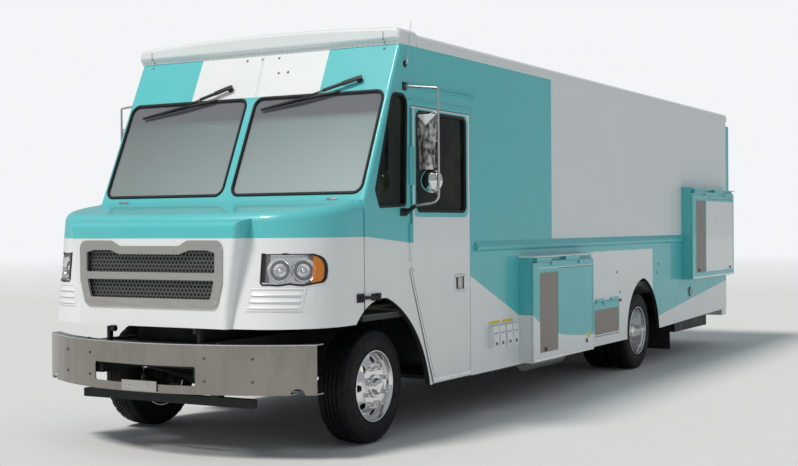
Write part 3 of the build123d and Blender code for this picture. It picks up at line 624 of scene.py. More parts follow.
def hood_y(x, z):
    """The hood's shoulder surface."""
    if abs(x) < FRONT_ARC_END:
        plan = HOOD_FRONT + FRONT_ARC_R - math.sqrt(FRONT_ARC_R ** 2 - x ** 2)
    else:
        plan = CORNER_Y - math.sqrt(max(1e-6, CORNER_R ** 2 - (abs(x) - CORNER_X) ** 2))
    back = plan - HOOD_FRONT
    return HOOD_FRONT + back * LEAN_COS + LEAN_TAN * (z - HOOD_FOOT + back * LEAN_SIN)


def on_hood(x, z, height=0.0):
    here = hood_y(x, z)
    step = 0.001
    rises = (hood_y(x + step, z) - here) / step, (hood_y(x, z + step) - here) / step
    return Vector((x, here, z)) + Vector((rises[0], -1, rises[1])).normalized() * height


def on_side(y, z, height=0.0):
    return Vector((SKIN + height, y, z))


class Shape:
    """A mesh in the making, dropped into the scene by save."""

    def __init__(self):
        self.mesh = bmesh.new()

    def walls(self, rings, closed=False):
        rows = [[self.mesh.verts.new(p) for p in ring] for ring in rings]
        for near, far in zip(rows, rows[1:] + rows[:1] if closed else rows[1:]):
            for k in range(len(near)):
                self.mesh.faces.new((near[k - 1], near[k], far[k], far[k - 1]))
        return rows

    def loft(self, rings, closed=False):
        """Walls between rings of equal count, with filled ends unless the last ring joins the first."""
        rows = self.walls(rings, closed)
        if not closed:
            self.mesh.faces.new(rows[0])
            self.mesh.faces.new(rows[-1])
        return self

    def sheet(self, rows):
        """An open surface through rows of points."""
        rows = [[self.mesh.verts.new(p) for p in row] for row in rows]
        for near, far in zip(rows, rows[1:]):
            for k in range(len(near) - 1):
                self.mesh.faces.new((near[k], near[k + 1], far[k + 1], far[k]))
        return self

    def box(self, x0, x1, y0, y1, z0, z1):
        return self.loft([[(x, y0, z0), (x, y1, z0), (x, y1, z1), (x, y0, z1)] for x in (x0, x1)])

    def circle(self, at, side, up, radius, sides, start=0.0):
        turns = [CIRCLE * (k + start) / sides for k in range(sides)]
        return [at + (side * math.cos(a) + up * math.sin(a)) * radius for a in turns]

    def lathe(self, profile, at, axis=SIDE_OUT, sides=32, closed=False):
        """A profile of (along, radius) turned about an axis through at."""
        axis = Vector(axis).normalized()
        side = axis.orthogonal().normalized()
        up = axis.cross(side)
        rings = [self.circle(Vector(at) + axis * along, side, up, r, sides, 0.5) for along, r in profile]
        return self.loft(rings, closed)

    def domes(self, places, axis, radius, height, sides=8):
        """A round head at each place."""
        profile = [(-height * 0.3, radius), (height * 0.35, radius * 0.95), (height * 0.8, radius * 0.6)]
        for at in places:
            self.lathe(profile + [(height, radius * 0.1)], at, axis, sides)
        return self

    def tube(self, points, radius, sides=12):
        """A round bar through points; radius is one value or one per point."""
        points = [Vector(p) for p in points]
        ways = [(b - a).normalized() for a, b in zip(points, points[1:])]
        ways = [ways[0]] + [(a + b).normalized() for a, b in zip(ways, ways[1:])] + [ways[-1]]
        radii = radius if isinstance(radius, list) else [radius] * len(points)
        side = ways[0].orthogonal().normalized()
        rings = []
        for at, way, r in zip(points, ways, radii):
            side = (side - way * side.dot(way)).normalized()
            rings.append(self.circle(at, side, way.cross(side), r, sides))
        return self.loft(rings)

    def bar(self, points, up, width, depth):
        """A flat bar through points, with its depth along up."""
        points = [Vector(p) for p in points]
        rise = Vector(up).normalized() * depth / 2
        rings = []
        for k, at in enumerate(points):
            way = points[min(k + 1, len(points) - 1)] - points[max(k - 1, 0)]
            out = way.cross(rise).normalized() * width / 2
            rings.append([at - out - rise, at + out - rise, at + out + rise, at - out + rise])
        return self.loft(rings)

    def band(self, outline, place, profile):
        """A band along a closed outline; profile is (outward, height) and place gives the 3-D point."""
        rings = []
        count = len(outline)
        for k, here in enumerate(outline):
            back = (Vector(here) - Vector(outline[k - 1])).normalized()
            ahead = (Vector(outline[(k + 1) % count]) - Vector(here)).normalized()
            out = Vector((back.y + ahead.y, -back.x - ahead.x)).normalized()
            reach = 1 / max(0.5, out.dot(Vector((back.y, -back.x))))
            spots = [(Vector(here) + out * away * reach, height) for away, height in profile]
            rings.append([place(spot.x, spot.y, height) for spot, height in spots])
        return self.loft(rings, closed=True)

    def plate(self, outline, place, low, high):
        return self.loft([[place(p[0], p[1], height) for p in outline] for height in (low, high)])

    def both_sides(self):
        """Adds the same with x turned round."""
        parts = self.mesh.verts[:] + self.mesh.edges[:] + self.mesh.faces[:]
        for part in bmesh.ops.duplicate(self.mesh, geom=parts)["geom"]:
            if isinstance(part, bmesh.types.BMVert):
                part.co.x = -part.co.x
        return self

    def turned_round(self, sign):
        for vert in self.mesh.verts:
            vert.co.x *= sign
        return self

    def save(self, name, body, finish, replaces=(), bevel=0.0, sharp=35):
        bmesh.ops.recalc_face_normals(self.mesh, faces=self.mesh.faces)
        for face in self.mesh.faces:
            face.smooth = True
        for edge in self.mesh.edges:
            edge.smooth = edge.calc_face_angle(0) < math.radians(sharp)
        bmesh.ops.translate(self.mesh, verts=self.mesh.verts, vec=(0, SHIFT, 0))
        data = bpy.data.meshes.new(name)
        self.mesh.to_mesh(data)
        self.mesh.free()
        piece = bpy.data.objects.new(name, data)
        bpy.context.scene.collection.objects.link(piece)
        data.materials.append(MATERIALS[finish])
        if bevel:
            edges = piece.modifiers.new("edges", "BEVEL")
            edges.width = bevel
            edges.segments = 2
            edges.limit_method = "ANGLE"
        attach(piece, body)
        for node in replaces:
            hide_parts(node)
        return piece


# Tyres: five ribs with notched shoulders, and two rings on each sidewall

TYRE_SIDE = [
    (-0.108, 0.243), (-0.1135, 0.247), (-0.1165, 0.262), (-0.1200, 0.263), (-0.1205, 0.270),
    (-0.1185, 0.273), (-0.1230, 0.300), (-0.1235, 0.322), (-0.1220, 0.352), (-0.1205, 0.357),
    (-0.1225, 0.3585), (-0.1220, 0.3650), (-0.1190, 0.367), (-0.1165, 0.382), (-0.1125, 0.394),
]
TYRE_SHOULDER = [(-0.1060, 0.4035), (-0.0980, 0.4080), (-0.0840, 0.4105)]
TYRE_TREAD = [
    (-0.0560, 0.4128), (-0.0545, 0.4015), (-0.0465, 0.4015), (-0.0450, 0.4134), (-0.0225, 0.4142),
    (-0.0210, 0.4025), (-0.0130, 0.4025), (-0.0115, 0.4144),
]
TYRE_TURNS = 144


def tyre(shape, x, y):
    rings = []
    for k in range(TYRE_TURNS):
        cut = 0.006 if k % 4 == 0 else 0.0
        half = TYRE_SIDE + [(a + cut * 0.4, r - cut) for a, r in TYRE_SHOULDER] + TYRE_TREAD
        turn = CIRCLE * k / TYRE_TURNS
        ring = half + [(-a, r) for a, r in reversed(half)]
        rings.append([(x + a, y + r * math.sin(turn), AXLE_Z + r * math.cos(turn)) for a, r in ring])
    return shape.loft(rings, closed=True)


# Wheels: a polished disc with eight holes, a double lip, and eight covered lugs round the hub cap

FRONT_DISC = [(0.158, 1.0955), (0.170, 1.0930), (0.190, 1.0810), (0.222, 1.0580), (0.231, 1.0500)]
REAR_DISC = [(0.158, 0.9075), (0.170, 0.9095), (0.190, 0.9230), (0.222, 0.9490), (0.231, 0.9550)]
FRONT_RIM = [
    (1.048, 0.231), (1.072, 0.232), (1.086, 0.240), (1.096, 0.2440), (1.1000, 0.2475), (1.1030, 0.2480),
    (1.1020, 0.2505), (1.1045, 0.2525), (1.1045, 0.2560), (1.100, 0.2585), (1.092, 0.2590),
    (1.088, 0.2460), (1.080, 0.2435), (0.884, 0.2435), (0.876, 0.258), (0.862, 0.258), (0.862, 0.249),
    (0.872, 0.232), (0.900, 0.229),
]
REAR_RIM = [
    (0.955, 0.231), (1.120, 0.233), (1.140, 0.240), (1.153, 0.2440), (1.1610, 0.2475), (1.1645, 0.2480),
    (1.1640, 0.2505), (1.1668, 0.2525), (1.1668, 0.2560), (1.162, 0.2585), (1.154, 0.2590),
    (1.150, 0.2460), (1.142, 0.2435), (0.946, 0.2435), (0.938, 0.258), (0.924, 0.258), (0.924, 0.249),
    (0.934, 0.232), (0.950, 0.229),
]
INNER_RIM = [
    (0.900, 0.226), (0.892, 0.257), (0.880, 0.258), (0.872, 0.2435), (0.672, 0.2435), (0.660, 0.258),
    (0.648, 0.256), (0.650, 0.247), (0.664, 0.232), (0.700, 0.226), (0.860, 0.224), (0.893, 0.160),
    (0.893, 0.070), (0.900, 0.070),
]
FRONT_CENTRE = [
    (1.080, 0.164), (1.0935, 0.164), (1.0985, 0.1610), (1.0985, 0.1560), (1.0960, 0.1530), (1.0960, 0.084),
]
REAR_CENTRE = [
    (0.902, 0.164), (0.9065, 0.164), (0.9105, 0.1610), (0.9105, 0.1560), (0.9085, 0.1530), (0.9085, 0.084),
]
FRONT_HUB = [
    (1.094, 0.084), (1.107, 0.083), (1.112, 0.079), (1.1125, 0.064), (1.116, 0.062), (1.134, 0.059),
    (1.146, 0.051), (1.1510, 0.036), (1.1520, 0.001),
]
REAR_HUB = [
    (0.905, 0.088), (0.914, 0.086), (0.920, 0.080), (1.052, 0.078), (1.060, 0.074), (1.0605, 0.063),
    (1.064, 0.061), (1.100, 0.057), (1.112, 0.049), (1.1170, 0.034), (1.1180, 0.001),
]
LUG = [
    (0.0, 0.0180), (0.004, 0.0180), (0.006, 0.0160), (0.029, 0.0145), (0.035, 0.012), (0.0385, 0.006),
    (0.039, 0.0005),
]
LUG_CIRCLE = 0.1375
HOLE_R = 0.0245
HOLE_AT = 0.190
# The quads round a hole end on this circle, and its edge turns in by these depths
COLLAR_R = 1.18 * HOLE_R
HOLE_DEPTHS = (0, 0, 0.0015, 0.016)
FRONT_TYRE_X, OUTER_TYRE_X, INNER_TYRE_X = 0.982, 1.045, 0.770


def disc_x(table, radius):
    for (r0, x0), (r1, x1) in zip(table, table[1:]):
        if radius <= r1:
            break
    return x0 + (x1 - x0) * (radius - r0) / (r1 - r0)


def holed_disc(shape, y, table):
    """Eight sectors, each a ring of quads from its round hole out to its edge."""
    inner, outer, half = table[0][0], table[-1][0], math.pi / 8
    edge = [(outer, half * k / 6) for k in range(7)]
    edge += [(outer + (inner - outer) * k / 5, half) for k in range(1, 6)]
    edge += [(inner, half * (5 - k) / 6) for k in range(6)]
    edge = [(r, -a) for r, a in reversed(edge[1:])] + edge[:-1]
    for sector in range(8):
        rings = [[], [], [], []]
        for r, a in edge:
            u, v = r * math.cos(a) - HOLE_AT, r * math.sin(a)
            gone = math.hypot(u, v)
            shares = (1, COLLAR_R / gone, HOLE_R / gone, HOLE_R / gone)
            for ring, share, depth in zip(rings, shares, HOLE_DEPTHS):
                radius = math.hypot(HOLE_AT + u * share, v * share)
                turn = math.atan2(v * share, HOLE_AT + u * share) + sector * 2 * half
                across, up = radius * math.sin(turn), radius * math.cos(turn)
                ring.append((disc_x(table, radius) - depth, y + across, AXLE_Z + up))
        shape.walls(rings)
    bmesh.ops.remove_doubles(shape.mesh, verts=shape.mesh.verts, dist=1e-5)


def wheel(side, sign, y, disc, rims, centre, hub, lug_x, name, node):
    at = (0, y, AXLE_Z)
    shape = Shape()
    holed_disc(shape, y, disc)
    for rim in rims:
        shape.lathe(rim, at, sides=96, closed=True)
    shape.lathe(centre, at, sides=64).turned_round(sign).save(f"{name}_{side}", node, "alloy", [node])
    shape = Shape().lathe(hub, at, sides=48)
    for k in range(8):
        turn = CIRCLE * (k + 0.5) / 8
        place = (lug_x, y + LUG_CIRCLE * math.sin(turn), AXLE_Z + LUG_CIRCLE * math.cos(turn))
        shape.lathe(LUG, place, sides=12)
    shape.turned_round(sign).save(f"{name}_hub_and_lugs_{side}", node, "chrome")


def make_wheels():
    """Each wheel node's name is also its body's."""
    for side, sign in SIDES:
        node = f"front_wheel_{side}"
        tyre(Shape(), FRONT_TYRE_X * sign, 0).save(f"tyre_front_{side}", node, "tyre", [f"front_tyre_{side}"])
        wheel(side, sign, 0, FRONT_DISC, [FRONT_RIM], FRONT_CENTRE, FRONT_HUB, 1.0960, "rim_front", node)
        node = f"rear_wheels_{side}"
        twins = tyre(tyre(Shape(), OUTER_TYRE_X * sign, WHEELBASE), INNER_TYRE_X * sign, WHEELBASE)
        twins.save(f"tyres_rear_{side}", node, "tyre", [f"rear_tyres_{side}"])
        rims = [REAR_RIM, INNER_RIM]
        wheel(side, sign, WHEELBASE, REAR_DISC, rims, REAR_CENTRE, REAR_HUB, 0.9085, "rims_rear", node)


# Window rubbers

RUBBER = [(-0.014, -0.010), (-0.014, 0.003), (-0.008, 0.008), (0.002, 0.008), (0.007, 0.004), (0.009, -0.002)]
INSET_RUBBER = [
    (-0.020, -0.022), (-0.020, -0.006), (-0.013, 0.001), (-0.004, 0.003), (0.002, 0.002), (0.003, -0.002),
]
SCREEN = rounded(rectangle(0.038, 1.180, 1.800, 2.550), 0.070, 8)
QUARTER = [(0.075, 2.531), (0.283, 2.531), (0.260, 1.718), (-0.110, 1.703), (-0.168, 1.822)]
QUARTER_R = [0.072, 0.072, 0.028, 0.028, 0.028]
DOOR_WINDOW = rounded(rectangle(0.415, 1.242, 1.670, 2.430), 0.060, 8)
REAR_WINDOW = rounded(rectangle(-0.325, 0.275, 1.750, 2.250), 0.040)
DOOR_FACE = 0.004


def on_door(y, z, height):
    return on_side(y, z, height + DOOR_FACE)


def on_rear(x, z, height):
    return Vector((x, BODY_END + height, z))


def make_window_rubbers():
    shape = Shape().band(SCREEN, on_slope, RUBBER)
    shape.band(rounded(QUARTER, QUARTER_R), on_side, RUBBER)
    shape.both_sides().save("window_rubbers", "body", "rubber")
    for side, sign in SIDES:
        shape = Shape().band(DOOR_WINDOW, on_door, INSET_RUBBER)
        shape.turned_round(sign).save(f"door_rubber_{side}", f"cab_door_{side}", "rubber")
    Shape().band(REAR_WINDOW, on_rear, INSET_RUBBER).save("rear_door_rubber", "rear_door", "rubber")


# Wipers: pivot, arm and bridged blade, all on the sloped front

# Pivot, joint, blade's start and end, as (x, z)
WIPERS = [
    ((0.946, 2.636), (0.466, 2.504), (0.122, 2.450), (0.794, 2.556)),
    ((-0.228, 2.632), (-0.640, 2.500), (-1.032, 2.436), (-0.328, 2.550)),
]
WIPER_HUB = [(-0.004, 0.024), (0.012, 0.022), (0.016, 0.014), (0.036, 0.013), (0.040, 0.008)]
# The bridge over the blade: how far along the blade, and height
BRIDGE = [
    (0.04, 0.014), (0.27, 0.022), (0.45, 0.028), (0.52, 0.031), (0.59, 0.028), (0.77, 0.022),
    (0.96, 0.014),
]
ARM_TAIL, ARM_ELBOW, ARM_HEIGHT = 0.03, 0.13, 0.033


def make_wipers():
    arms, rubber = Shape(), Shape()
    for pivot, joint, start, end in WIPERS:
        pivot, joint, start, end = (Vector(spot) for spot in (pivot, joint, start, end))
        toward = (joint - pivot).normalized()
        tail = on_slope(*(pivot - toward * ARM_TAIL), 0.030)
        elbow = pivot + toward * ARM_ELBOW
        middle = elbow.lerp(joint, 0.45)
        bend, waist = on_slope(*elbow, ARM_HEIGHT), on_slope(*middle, 0.034)
        arms.lathe(WIPER_HUB, on_slope(*pivot), SLOPE_OUT, 16)
        arms.bar([tail, on_slope(*pivot, ARM_HEIGHT), bend], SLOPE_OUT, 0.030, 0.016)
        arms.bar([bend, waist], SLOPE_OUT, 0.022, 0.013)
        arms.bar([waist, on_slope(*joint, 0.032)], SLOPE_OUT, 0.010, 0.007)
        bridge = [on_slope(*start.lerp(end, share), height) for share, height in BRIDGE]
        arms.bar(bridge, SLOPE_OUT, 0.016, 0.008)
        rubber.bar([on_slope(*spot, 0.010) for spot in (start, end)], SLOPE_OUT, 0.014, 0.013)
        arms.bar([on_slope(*spot, 0.017) for spot in (start, end)], SLOPE_OUT, 0.012, 0.003)
    arms.save("wiper_arms", "body", "trim", ["wipers"], bevel=0.0015)
    rubber.save("wiper_rubbers", "body", "rubber")


# Screws and rivets

GRILLE_Y = -1.167
GRILLE_RIVETS = [
    (-0.590, 1.423), (-0.228, 1.424), (0.225, 1.425), (0.618, 1.420), (-0.592, 1.243), (-0.229, 1.237),
    (0.223, 1.233), (0.604, 1.231), (-0.565, 1.080), (-0.241, 1.042), (0.217, 1.033), (0.569, 1.062),
]
FOREHEAD_SCREWS = [
    (-1.093, 2.870), (-0.144, 2.863), (0.001, 2.866), (0.157, 2.865), (1.093, 2.870), (0.189, 2.743),
]
RIVET_COLUMNS = (1.490, 1.595, 2.008, 2.405, 2.805)
RIVET_ROWS = (2.607, 2.310, 2.022, 1.709)
DOOR_POST_RIVETS = [(1.345, 1.46 + 0.085 * k) for k in range(14)]
CAP_RIVETS_X = [-1.17 + 0.045 * k for k in range(53)]
RAIL_RIVETS_Y = [0.52 + 0.1 * k for k in range(83)]


def make_fixings():
    grille = [(x, GRILLE_Y, z) for x, z in GRILLE_RIVETS]
    Shape().domes(grille, FRONT_OUT, 0.008, 0.004).save("grille_rivets", "hood", "steel")
    shape = Shape().domes([on_slope(x, z) for x, z in FOREHEAD_SCREWS], SLOPE_OUT, 0.011, 0.004, 10)
    shape.domes([on_slope(0.275, 2.744)], SLOPE_OUT, 0.011, 0.006, 12)
    shape.domes([(x, 0.195, 2.9135) for x in CAP_RIVETS_X], FRONT_OUT, 0.0035, 0.002, 6)
    shape.save("forehead_screws", "body", "dull")
    spots = DOOR_POST_RIVETS + [(y, z) for y in RIVET_COLUMNS for z in RIVET_ROWS]
    shape = Shape().domes([on_side(y, z) for y, z in spots], SIDE_OUT, 0.006, 0.004, 6)
    shape.domes([(1.2275, y, 2.925) for y in RAIL_RIVETS_Y], SIDE_OUT, 0.004, 0.002, 6)
    shape.both_sides().save("side_rivets", "body", "teal")


# Belt moulding and drip rails

# How far out, and height
BELT_SECTION = [
    (0.000, 1.354), (0.006, 1.357), (0.020, 1.364), (0.029, 1.376), (0.032, 1.388), (0.030, 1.399),
    (0.010, 1.428), (0.003, 1.437), (0.000, 1.444),
]
BELT_ENDS = (1.400, 6.880)
# Ends along y, height, how far out, and each rail's width and depth
DRIP_RAILS = [((0.320, 1.369), 2.503, 0.006, 0.010, 0.014), ((0.300, 1.413), 2.618, 0.005, 0.012, 0.012)]


def make_mouldings():
    rings = [[on_side(y, z, out) for out, z in BELT_SECTION] for y in BELT_ENDS]
    Shape().loft(rings).save("belt_moulding", "body", "teal", ["belt_rails"])
    shape = Shape()
    for ends, z, out, width, depth in DRIP_RAILS:
        shape.bar([on_side(y, z, out) for y in ends], SIDE_OUT, width, depth)
    shape.both_sides().save("drip_rails", "body", "teal", bevel=0.002)


# Seams: the double line down the forehead, and the joints near the cap's ends

# Where each seam starts and ends, along x
FOREHEAD_SEAMS = [(-0.004, 0.023), (0.010, 0.037)]
SEAM_TOP, SEAM_FOOT = 2.893, 2.556
CAP_SEAMS_X = (-1.093, 1.093)
# As (y, z)
CAP_SECTION = [
    (0.1935, 2.902), (0.1935, 2.928), (0.1645, 2.932), (0.1645, 2.990), (0.176, 3.008), (0.200, 3.014),
]


def make_seams():
    shape = Shape()
    for top, foot in FOREHEAD_SEAMS:
        line = [on_slope(top, SEAM_TOP, 0.001), on_slope(foot, SEAM_FOOT, 0.001)]
        shape.bar(line, SLOPE_OUT, 0.004, 0.003)
    shape.save("forehead_seam", "body", "white")
    shape = Shape()
    for x in CAP_SEAMS_X:
        shape.bar([(x, y, z) for y, z in CAP_SECTION], SIDE_OUT, 0.002, 0.004)
    shape.save("cap_seams", "body", "trim")


# Headlamps: a housing behind the lens with two bright bowls, and a thin rubber round the lens

LAMP_LINE = [
    (0.850, 1.196), (0.862, 1.184), (0.904, 1.185), (0.950, 1.181), (0.987, 1.185), (1.019, 1.191),
    (1.050, 1.185), (1.080, 1.180), (1.109, 1.186), (1.139, 1.194), (1.160, 1.199), (1.170, 1.222),
    (1.1715, 1.272), (1.169, 1.313), (1.161, 1.345), (1.145, 1.367), (1.121, 1.380), (0.988, 1.384),
    (0.850, 1.384),
]
LAMP_RUBBER = [(-0.004, -0.006), (-0.004, 0.002), (0.002, 0.004), (0.007, 0.003), (0.009, -0.003)]
BOWLS = [(0.957, 1.281, (0.44, -0.89, 0.10)), (1.088, 1.279, (0.66, -0.74, 0.10))]
BOWL = [
    (-0.042, 0.010), (-0.040, 0.024), (-0.034, 0.040), (-0.024, 0.056), (-0.012, 0.068), (0.000, 0.0765),
    (0.002, 0.0795), (-0.002, 0.0810), (-0.014, 0.071), (-0.027, 0.058), (-0.037, 0.042), (-0.044, 0.024),
    (-0.046, 0.010),
]
SHADE = [(-0.040, 0.022), (-0.026, 0.021), (-0.014, 0.016), (-0.008, 0.008), (-0.006, 0.0005)]
COLLAR = [(-0.030, 0.044), (-0.016, 0.048), (-0.015, 0.051), (-0.029, 0.047)]
HOUSING_X, HOUSING_STEP = 0.852, 0.0199
# The housing's height, and how deep it lies
HOUSING = [(1.188, -0.020), (1.190, -0.060), (1.378, -0.060), (1.380, -0.020)]


def make_headlamps():
    bowls, dark = Shape(), Shape()
    for x, z, axis in BOWLS:
        at = on_hood(x, z, -0.016)
        bowls.lathe(BOWL, at, axis, 48, closed=True)
        bowls.lathe(SHADE, at, axis, 24)
        dark.lathe(COLLAR, at, axis, 40, closed=True)
    steps = [HOUSING_X + HOUSING_STEP * k for k in range(17)]
    bowls.sheet([[on_hood(x, z, height) for x in steps] for z, height in HOUSING])
    bowls.both_sides().save("lamp_bowls", "hood", "reflector", ["headlamp_trays"])
    dark.band(LAMP_LINE, on_hood, LAMP_RUBBER)
    dark.both_sides().save("lamp_rubbers", "hood", "trim")


# Hood vents: a thin insert with three louvre lips and a raised rim

VENT_Z = (1.002, 1.166)
OPENING_Z = (1.007, 1.160)
LIPS = (1.146, 1.102, 1.058)
LIP_FALL, LIP_OUT = 0.034, 0.0105
RIM_WIDTH, RIM_OUT = 0.010, 0.0055
SHEET_OUT = 0.0008
COLUMNS, ROWS = 60, 83


def vent_height(x, z):
    """How far out the insert stands: flat outside its slanted opening, then the rim, then the lips."""
    left = 0.757 + (z - 1.007) * 0.14
    right = 1.084 + (z - 1.012) * 0.12
    edge = min(x - left, right - x, z - OPENING_Z[0], OPENING_Z[1] - z)
    if edge < 0:
        return SHEET_OUT
    if edge < RIM_WIDTH:
        return SHEET_OUT + RIM_OUT * math.sin(math.pi * edge / RIM_WIDTH)
    lift = 0.0
    for top in LIPS:
        fall = (top - z) / LIP_FALL
        if 0 <= fall <= 1:
            lift = LIP_OUT * fall ** 1.5
    return SHEET_OUT + lift * min(1, (edge - 0.006) / 0.016)


def make_vents():
    across = [0.745 + k * 0.00672 for k in range(COLUMNS)]
    up = [VENT_Z[0] + k * (VENT_Z[1] - VENT_Z[0]) / (ROWS - 1) for k in range(ROWS)]
    shape = Shape().sheet([[on_hood(x, z, vent_height(x, z)) for x in across] for z in up])
    shape.both_sides().save("hood_vents", "hood", "white", sharp=50)


# Mirrors: keeled chrome heads with a sloped top facet, their tubes, and the round mirrors below

TUBE_X, TUBE_Y, TUBE_R = 1.502, 0.250, 0.009
MIRROR_BACK, MIRROR_EDGE, MIRROR_KEEL = 0.262, 0.243, 0.221
# Height and half the width of the chrome head
MIRROR_STATIONS = [
    (1.974, 0.050), (1.984, 0.062), (2.010, 0.066), (2.060, 0.066), (2.130, 0.067), (2.190, 0.072),
    (2.240, 0.078), (MIRROR_TOP - FACET_DROP, MIRROR_HALF), (2.345, MIRROR_HALF), (2.370, 0.078),
    (MIRROR_TOP, 0.066),
]
MIRROR_FRAME = rounded(rectangle(1.334, 1.488, 1.972, 2.376), 0.022)
FRAME_SECTION = [(-0.006, -0.002), (-0.006, 0.006), (0.004, 0.006), (0.004, -0.010)]
MIRROR_PANE = rounded(rectangle(1.340, 1.482, 1.978, 2.370), 0.018)
ROUND_AT = (1.420, 0.302, 1.896)
ROUND_R, ROUND_PANE_R = 0.089, 0.080
ROUND_DOME = [
    (-0.002, ROUND_R - 0.004), (0.006, ROUND_R), (0.020, 0.086), (0.034, 0.076), (0.046, 0.060),
    (0.054, 0.040), (0.058, 0.018), (0.059, 0.001),
]
# Each tube's radius, sides and points
MIRROR_TUBES = [
    (TUBE_R, 12, [
        (1.224, TUBE_Y, 2.593), (TUBE_X - 0.020, TUBE_Y, 2.566), (TUBE_X, TUBE_Y, 2.560),
        (TUBE_X, TUBE_Y, 1.800), (TUBE_X - 0.006, TUBE_Y, 1.768), (TUBE_X - 0.025, TUBE_Y, 1.745),
        (TUBE_X - 0.060, TUBE_Y, 1.732), (1.300, TUBE_Y, 1.716),
    ]),
    (0.007, 12, [(TUBE_X - 0.010, TUBE_Y + 0.004, 2.180), (TUBE_X - 0.060, 0.256, 2.180)]),
    (0.006, 12, [(TUBE_X, TUBE_Y, 1.905), (1.440, 0.262, 1.905)]),
    (0.003, 8, [
        (TUBE_X, TUBE_Y, 1.800), (TUBE_X - 0.020, 0.262, 1.792), (TUBE_X - 0.030, 0.272, 1.812),
        (TUBE_X - 0.012, 0.280, 1.838),
    ]),
    (0.005, 8, [(TUBE_X, TUBE_Y, 2.372), (TUBE_X - 0.028, TUBE_Y, 2.392), (MIRROR_MIDDLE, TUBE_Y, 2.370)]),
]
MIRROR_CLAMP = [(1.222, TUBE_Y, 1.668), (1.262, TUBE_Y, 1.683), (1.312, TUBE_Y, 1.717)]
CLAMP_RADII = [0.026, 0.017, 0.014]
# Ranges of x, y and z
LOWER_FOOT = (SKIN, SKIN + 0.010, 0.180, 0.272, 1.640, 1.698)
UPPER_FOOT = (SKIN, SKIN + 0.008, 0.222, 0.278, 2.562, 2.622)


def mirror_head():
    """Each ring runs from the glass side round the keel, which the sloped top facet cuts off."""
    rings = []
    for z, half in MIRROR_STATIONS:
        cut = min(1, max(0, (z - MIRROR_TOP + FACET_DROP) / FACET_DROP))
        front = MIRROR_KEEL + (MIRROR_EDGE - MIRROR_KEEL) * cut
        flat = half * (0.06 + 0.90 * cut)
        spots = [(-half, MIRROR_BACK), (-half, MIRROR_EDGE), (-flat, front)]
        spots += [(flat, front), (half, MIRROR_EDGE), (half, MIRROR_BACK)]
        rings.append([(MIRROR_MIDDLE + x, y, z) for x, y in spots])
    return Shape().loft(rings)


def mirror_pane(x, z, height):
    return Vector((x, MIRROR_BACK + height, z))


def round_pane(x, z, height):
    return Vector((ROUND_AT[0] + x, ROUND_AT[1] + height, ROUND_AT[2] + z))


def make_mirrors():
    heads = mirror_head().both_sides()
    heads.save("mirror_heads", "body", "mirror_painted_reflections", ["mirrors"], bevel=0.002, sharp=20)
    frames = Shape().band(MIRROR_FRAME, mirror_pane, FRAME_SECTION)
    frames.both_sides().save("mirror_frames", "body", "rubber")
    Shape().lathe(ROUND_DOME, ROUND_AT, FRONT_OUT, 48).both_sides().save("round_mirrors", "body", "chrome")
    panes = Shape().plate(MIRROR_PANE, mirror_pane, 0, 0.003)
    turns = [k / 32 * CIRCLE for k in range(32)]
    disc = [(ROUND_PANE_R * math.cos(a), ROUND_PANE_R * math.sin(a)) for a in turns]
    panes.plate(disc, round_pane, 0.002, 0.0035)
    panes.both_sides().save("mirror_panes", "body", "mirror_glass")
    tubes = Shape()
    for radius, sides, points in MIRROR_TUBES:
        tubes.tube(points, radius, sides)
    tubes.both_sides().save("mirror_tubes", "body", "steel")
    feet = Shape().tube(MIRROR_CLAMP, CLAMP_RADII).box(*LOWER_FOOT).box(*UPPER_FOOT)
    feet.both_sides().save("mirror_feet", "body", "trim", bevel=0.003)


# Doors: aluminium strips, seals, the handle's bezel and its paddle

# The slanted front edge and the foot, as (y, z)
DOOR_EDGE = [(0.330, 1.246), (0.306, 1.222), (0.655, 0.392)]
DOOR_FOOT = [(0.680, 0.378), (1.304, 0.378)]
BEZEL = rounded(rectangle(1.051, 1.212, 1.059, 1.173), 0.010)
BEZEL_SECTION = [
    (-0.012, -0.002), (-0.012, 0.003), (-0.006, 0.006), (0.008, 0.006), (0.013, 0.003), (0.013, -0.001),
]
# As ranges of x, y and z
PADDLE = (1.1975, 1.2125, 1.112, 1.208, 1.066, 1.166)
HANDLE_WELL = (1.1972, 1.1990, 1.047, 1.216, 1.055, 1.177)


def door_edge(back, height):
    return [on_side(y + back, z, height) for y, z in DOOR_EDGE]


def make_door_fittings():
    for side, sign in SIDES:
        body = f"cab_door_{side}"
        strips = Shape().bar(door_edge(0.022, 0.003), SIDE_OUT, 0.022, 0.006)
        strips.bar([on_side(y, z + 0.016, 0.002) for y, z in DOOR_FOOT], SIDE_OUT, 0.030, 0.004)
        strips.band(BEZEL, on_side, BEZEL_SECTION)
        strips.turned_round(sign).save(f"door_trim_{side}", body, "aluminium", bevel=0.001)
        paddle = Shape().box(*PADDLE)
        paddle.turned_round(sign).save(f"door_paddle_{side}", body, "steel", bevel=0.003)
        seal = Shape().box(*HANDLE_WELL).bar(door_edge(0.040, 0.001), SIDE_OUT, 0.010, 0.003)
        seal.turned_round(sign).save(f"door_seal_{side}", body, "rubber")


# Service boxes and power inlets: mesh panels, corner strips, hinge knuckles, latches and blank labels

BOX_OUT = SKIN + 0.112
# Name and body, how far out it starts and ends, and ranges of y and z
PANELS = [
    ("mesh_front_box", "service_door_front", BOX_OUT + 0.0175, BOX_OUT + 0.0200, 2.402, 2.808, 0.448, 1.148),
    ("mesh_rear_box", "service_door_rear", BOX_OUT + 0.0175, BOX_OUT + 0.0200, 7.032, 7.418, 0.993, 1.848),
    ("mesh_louvre", "louvre_door", SKIN - 0.0045, SKIN - 0.0015, 4.056, 4.738, 0.472, 0.716),
]
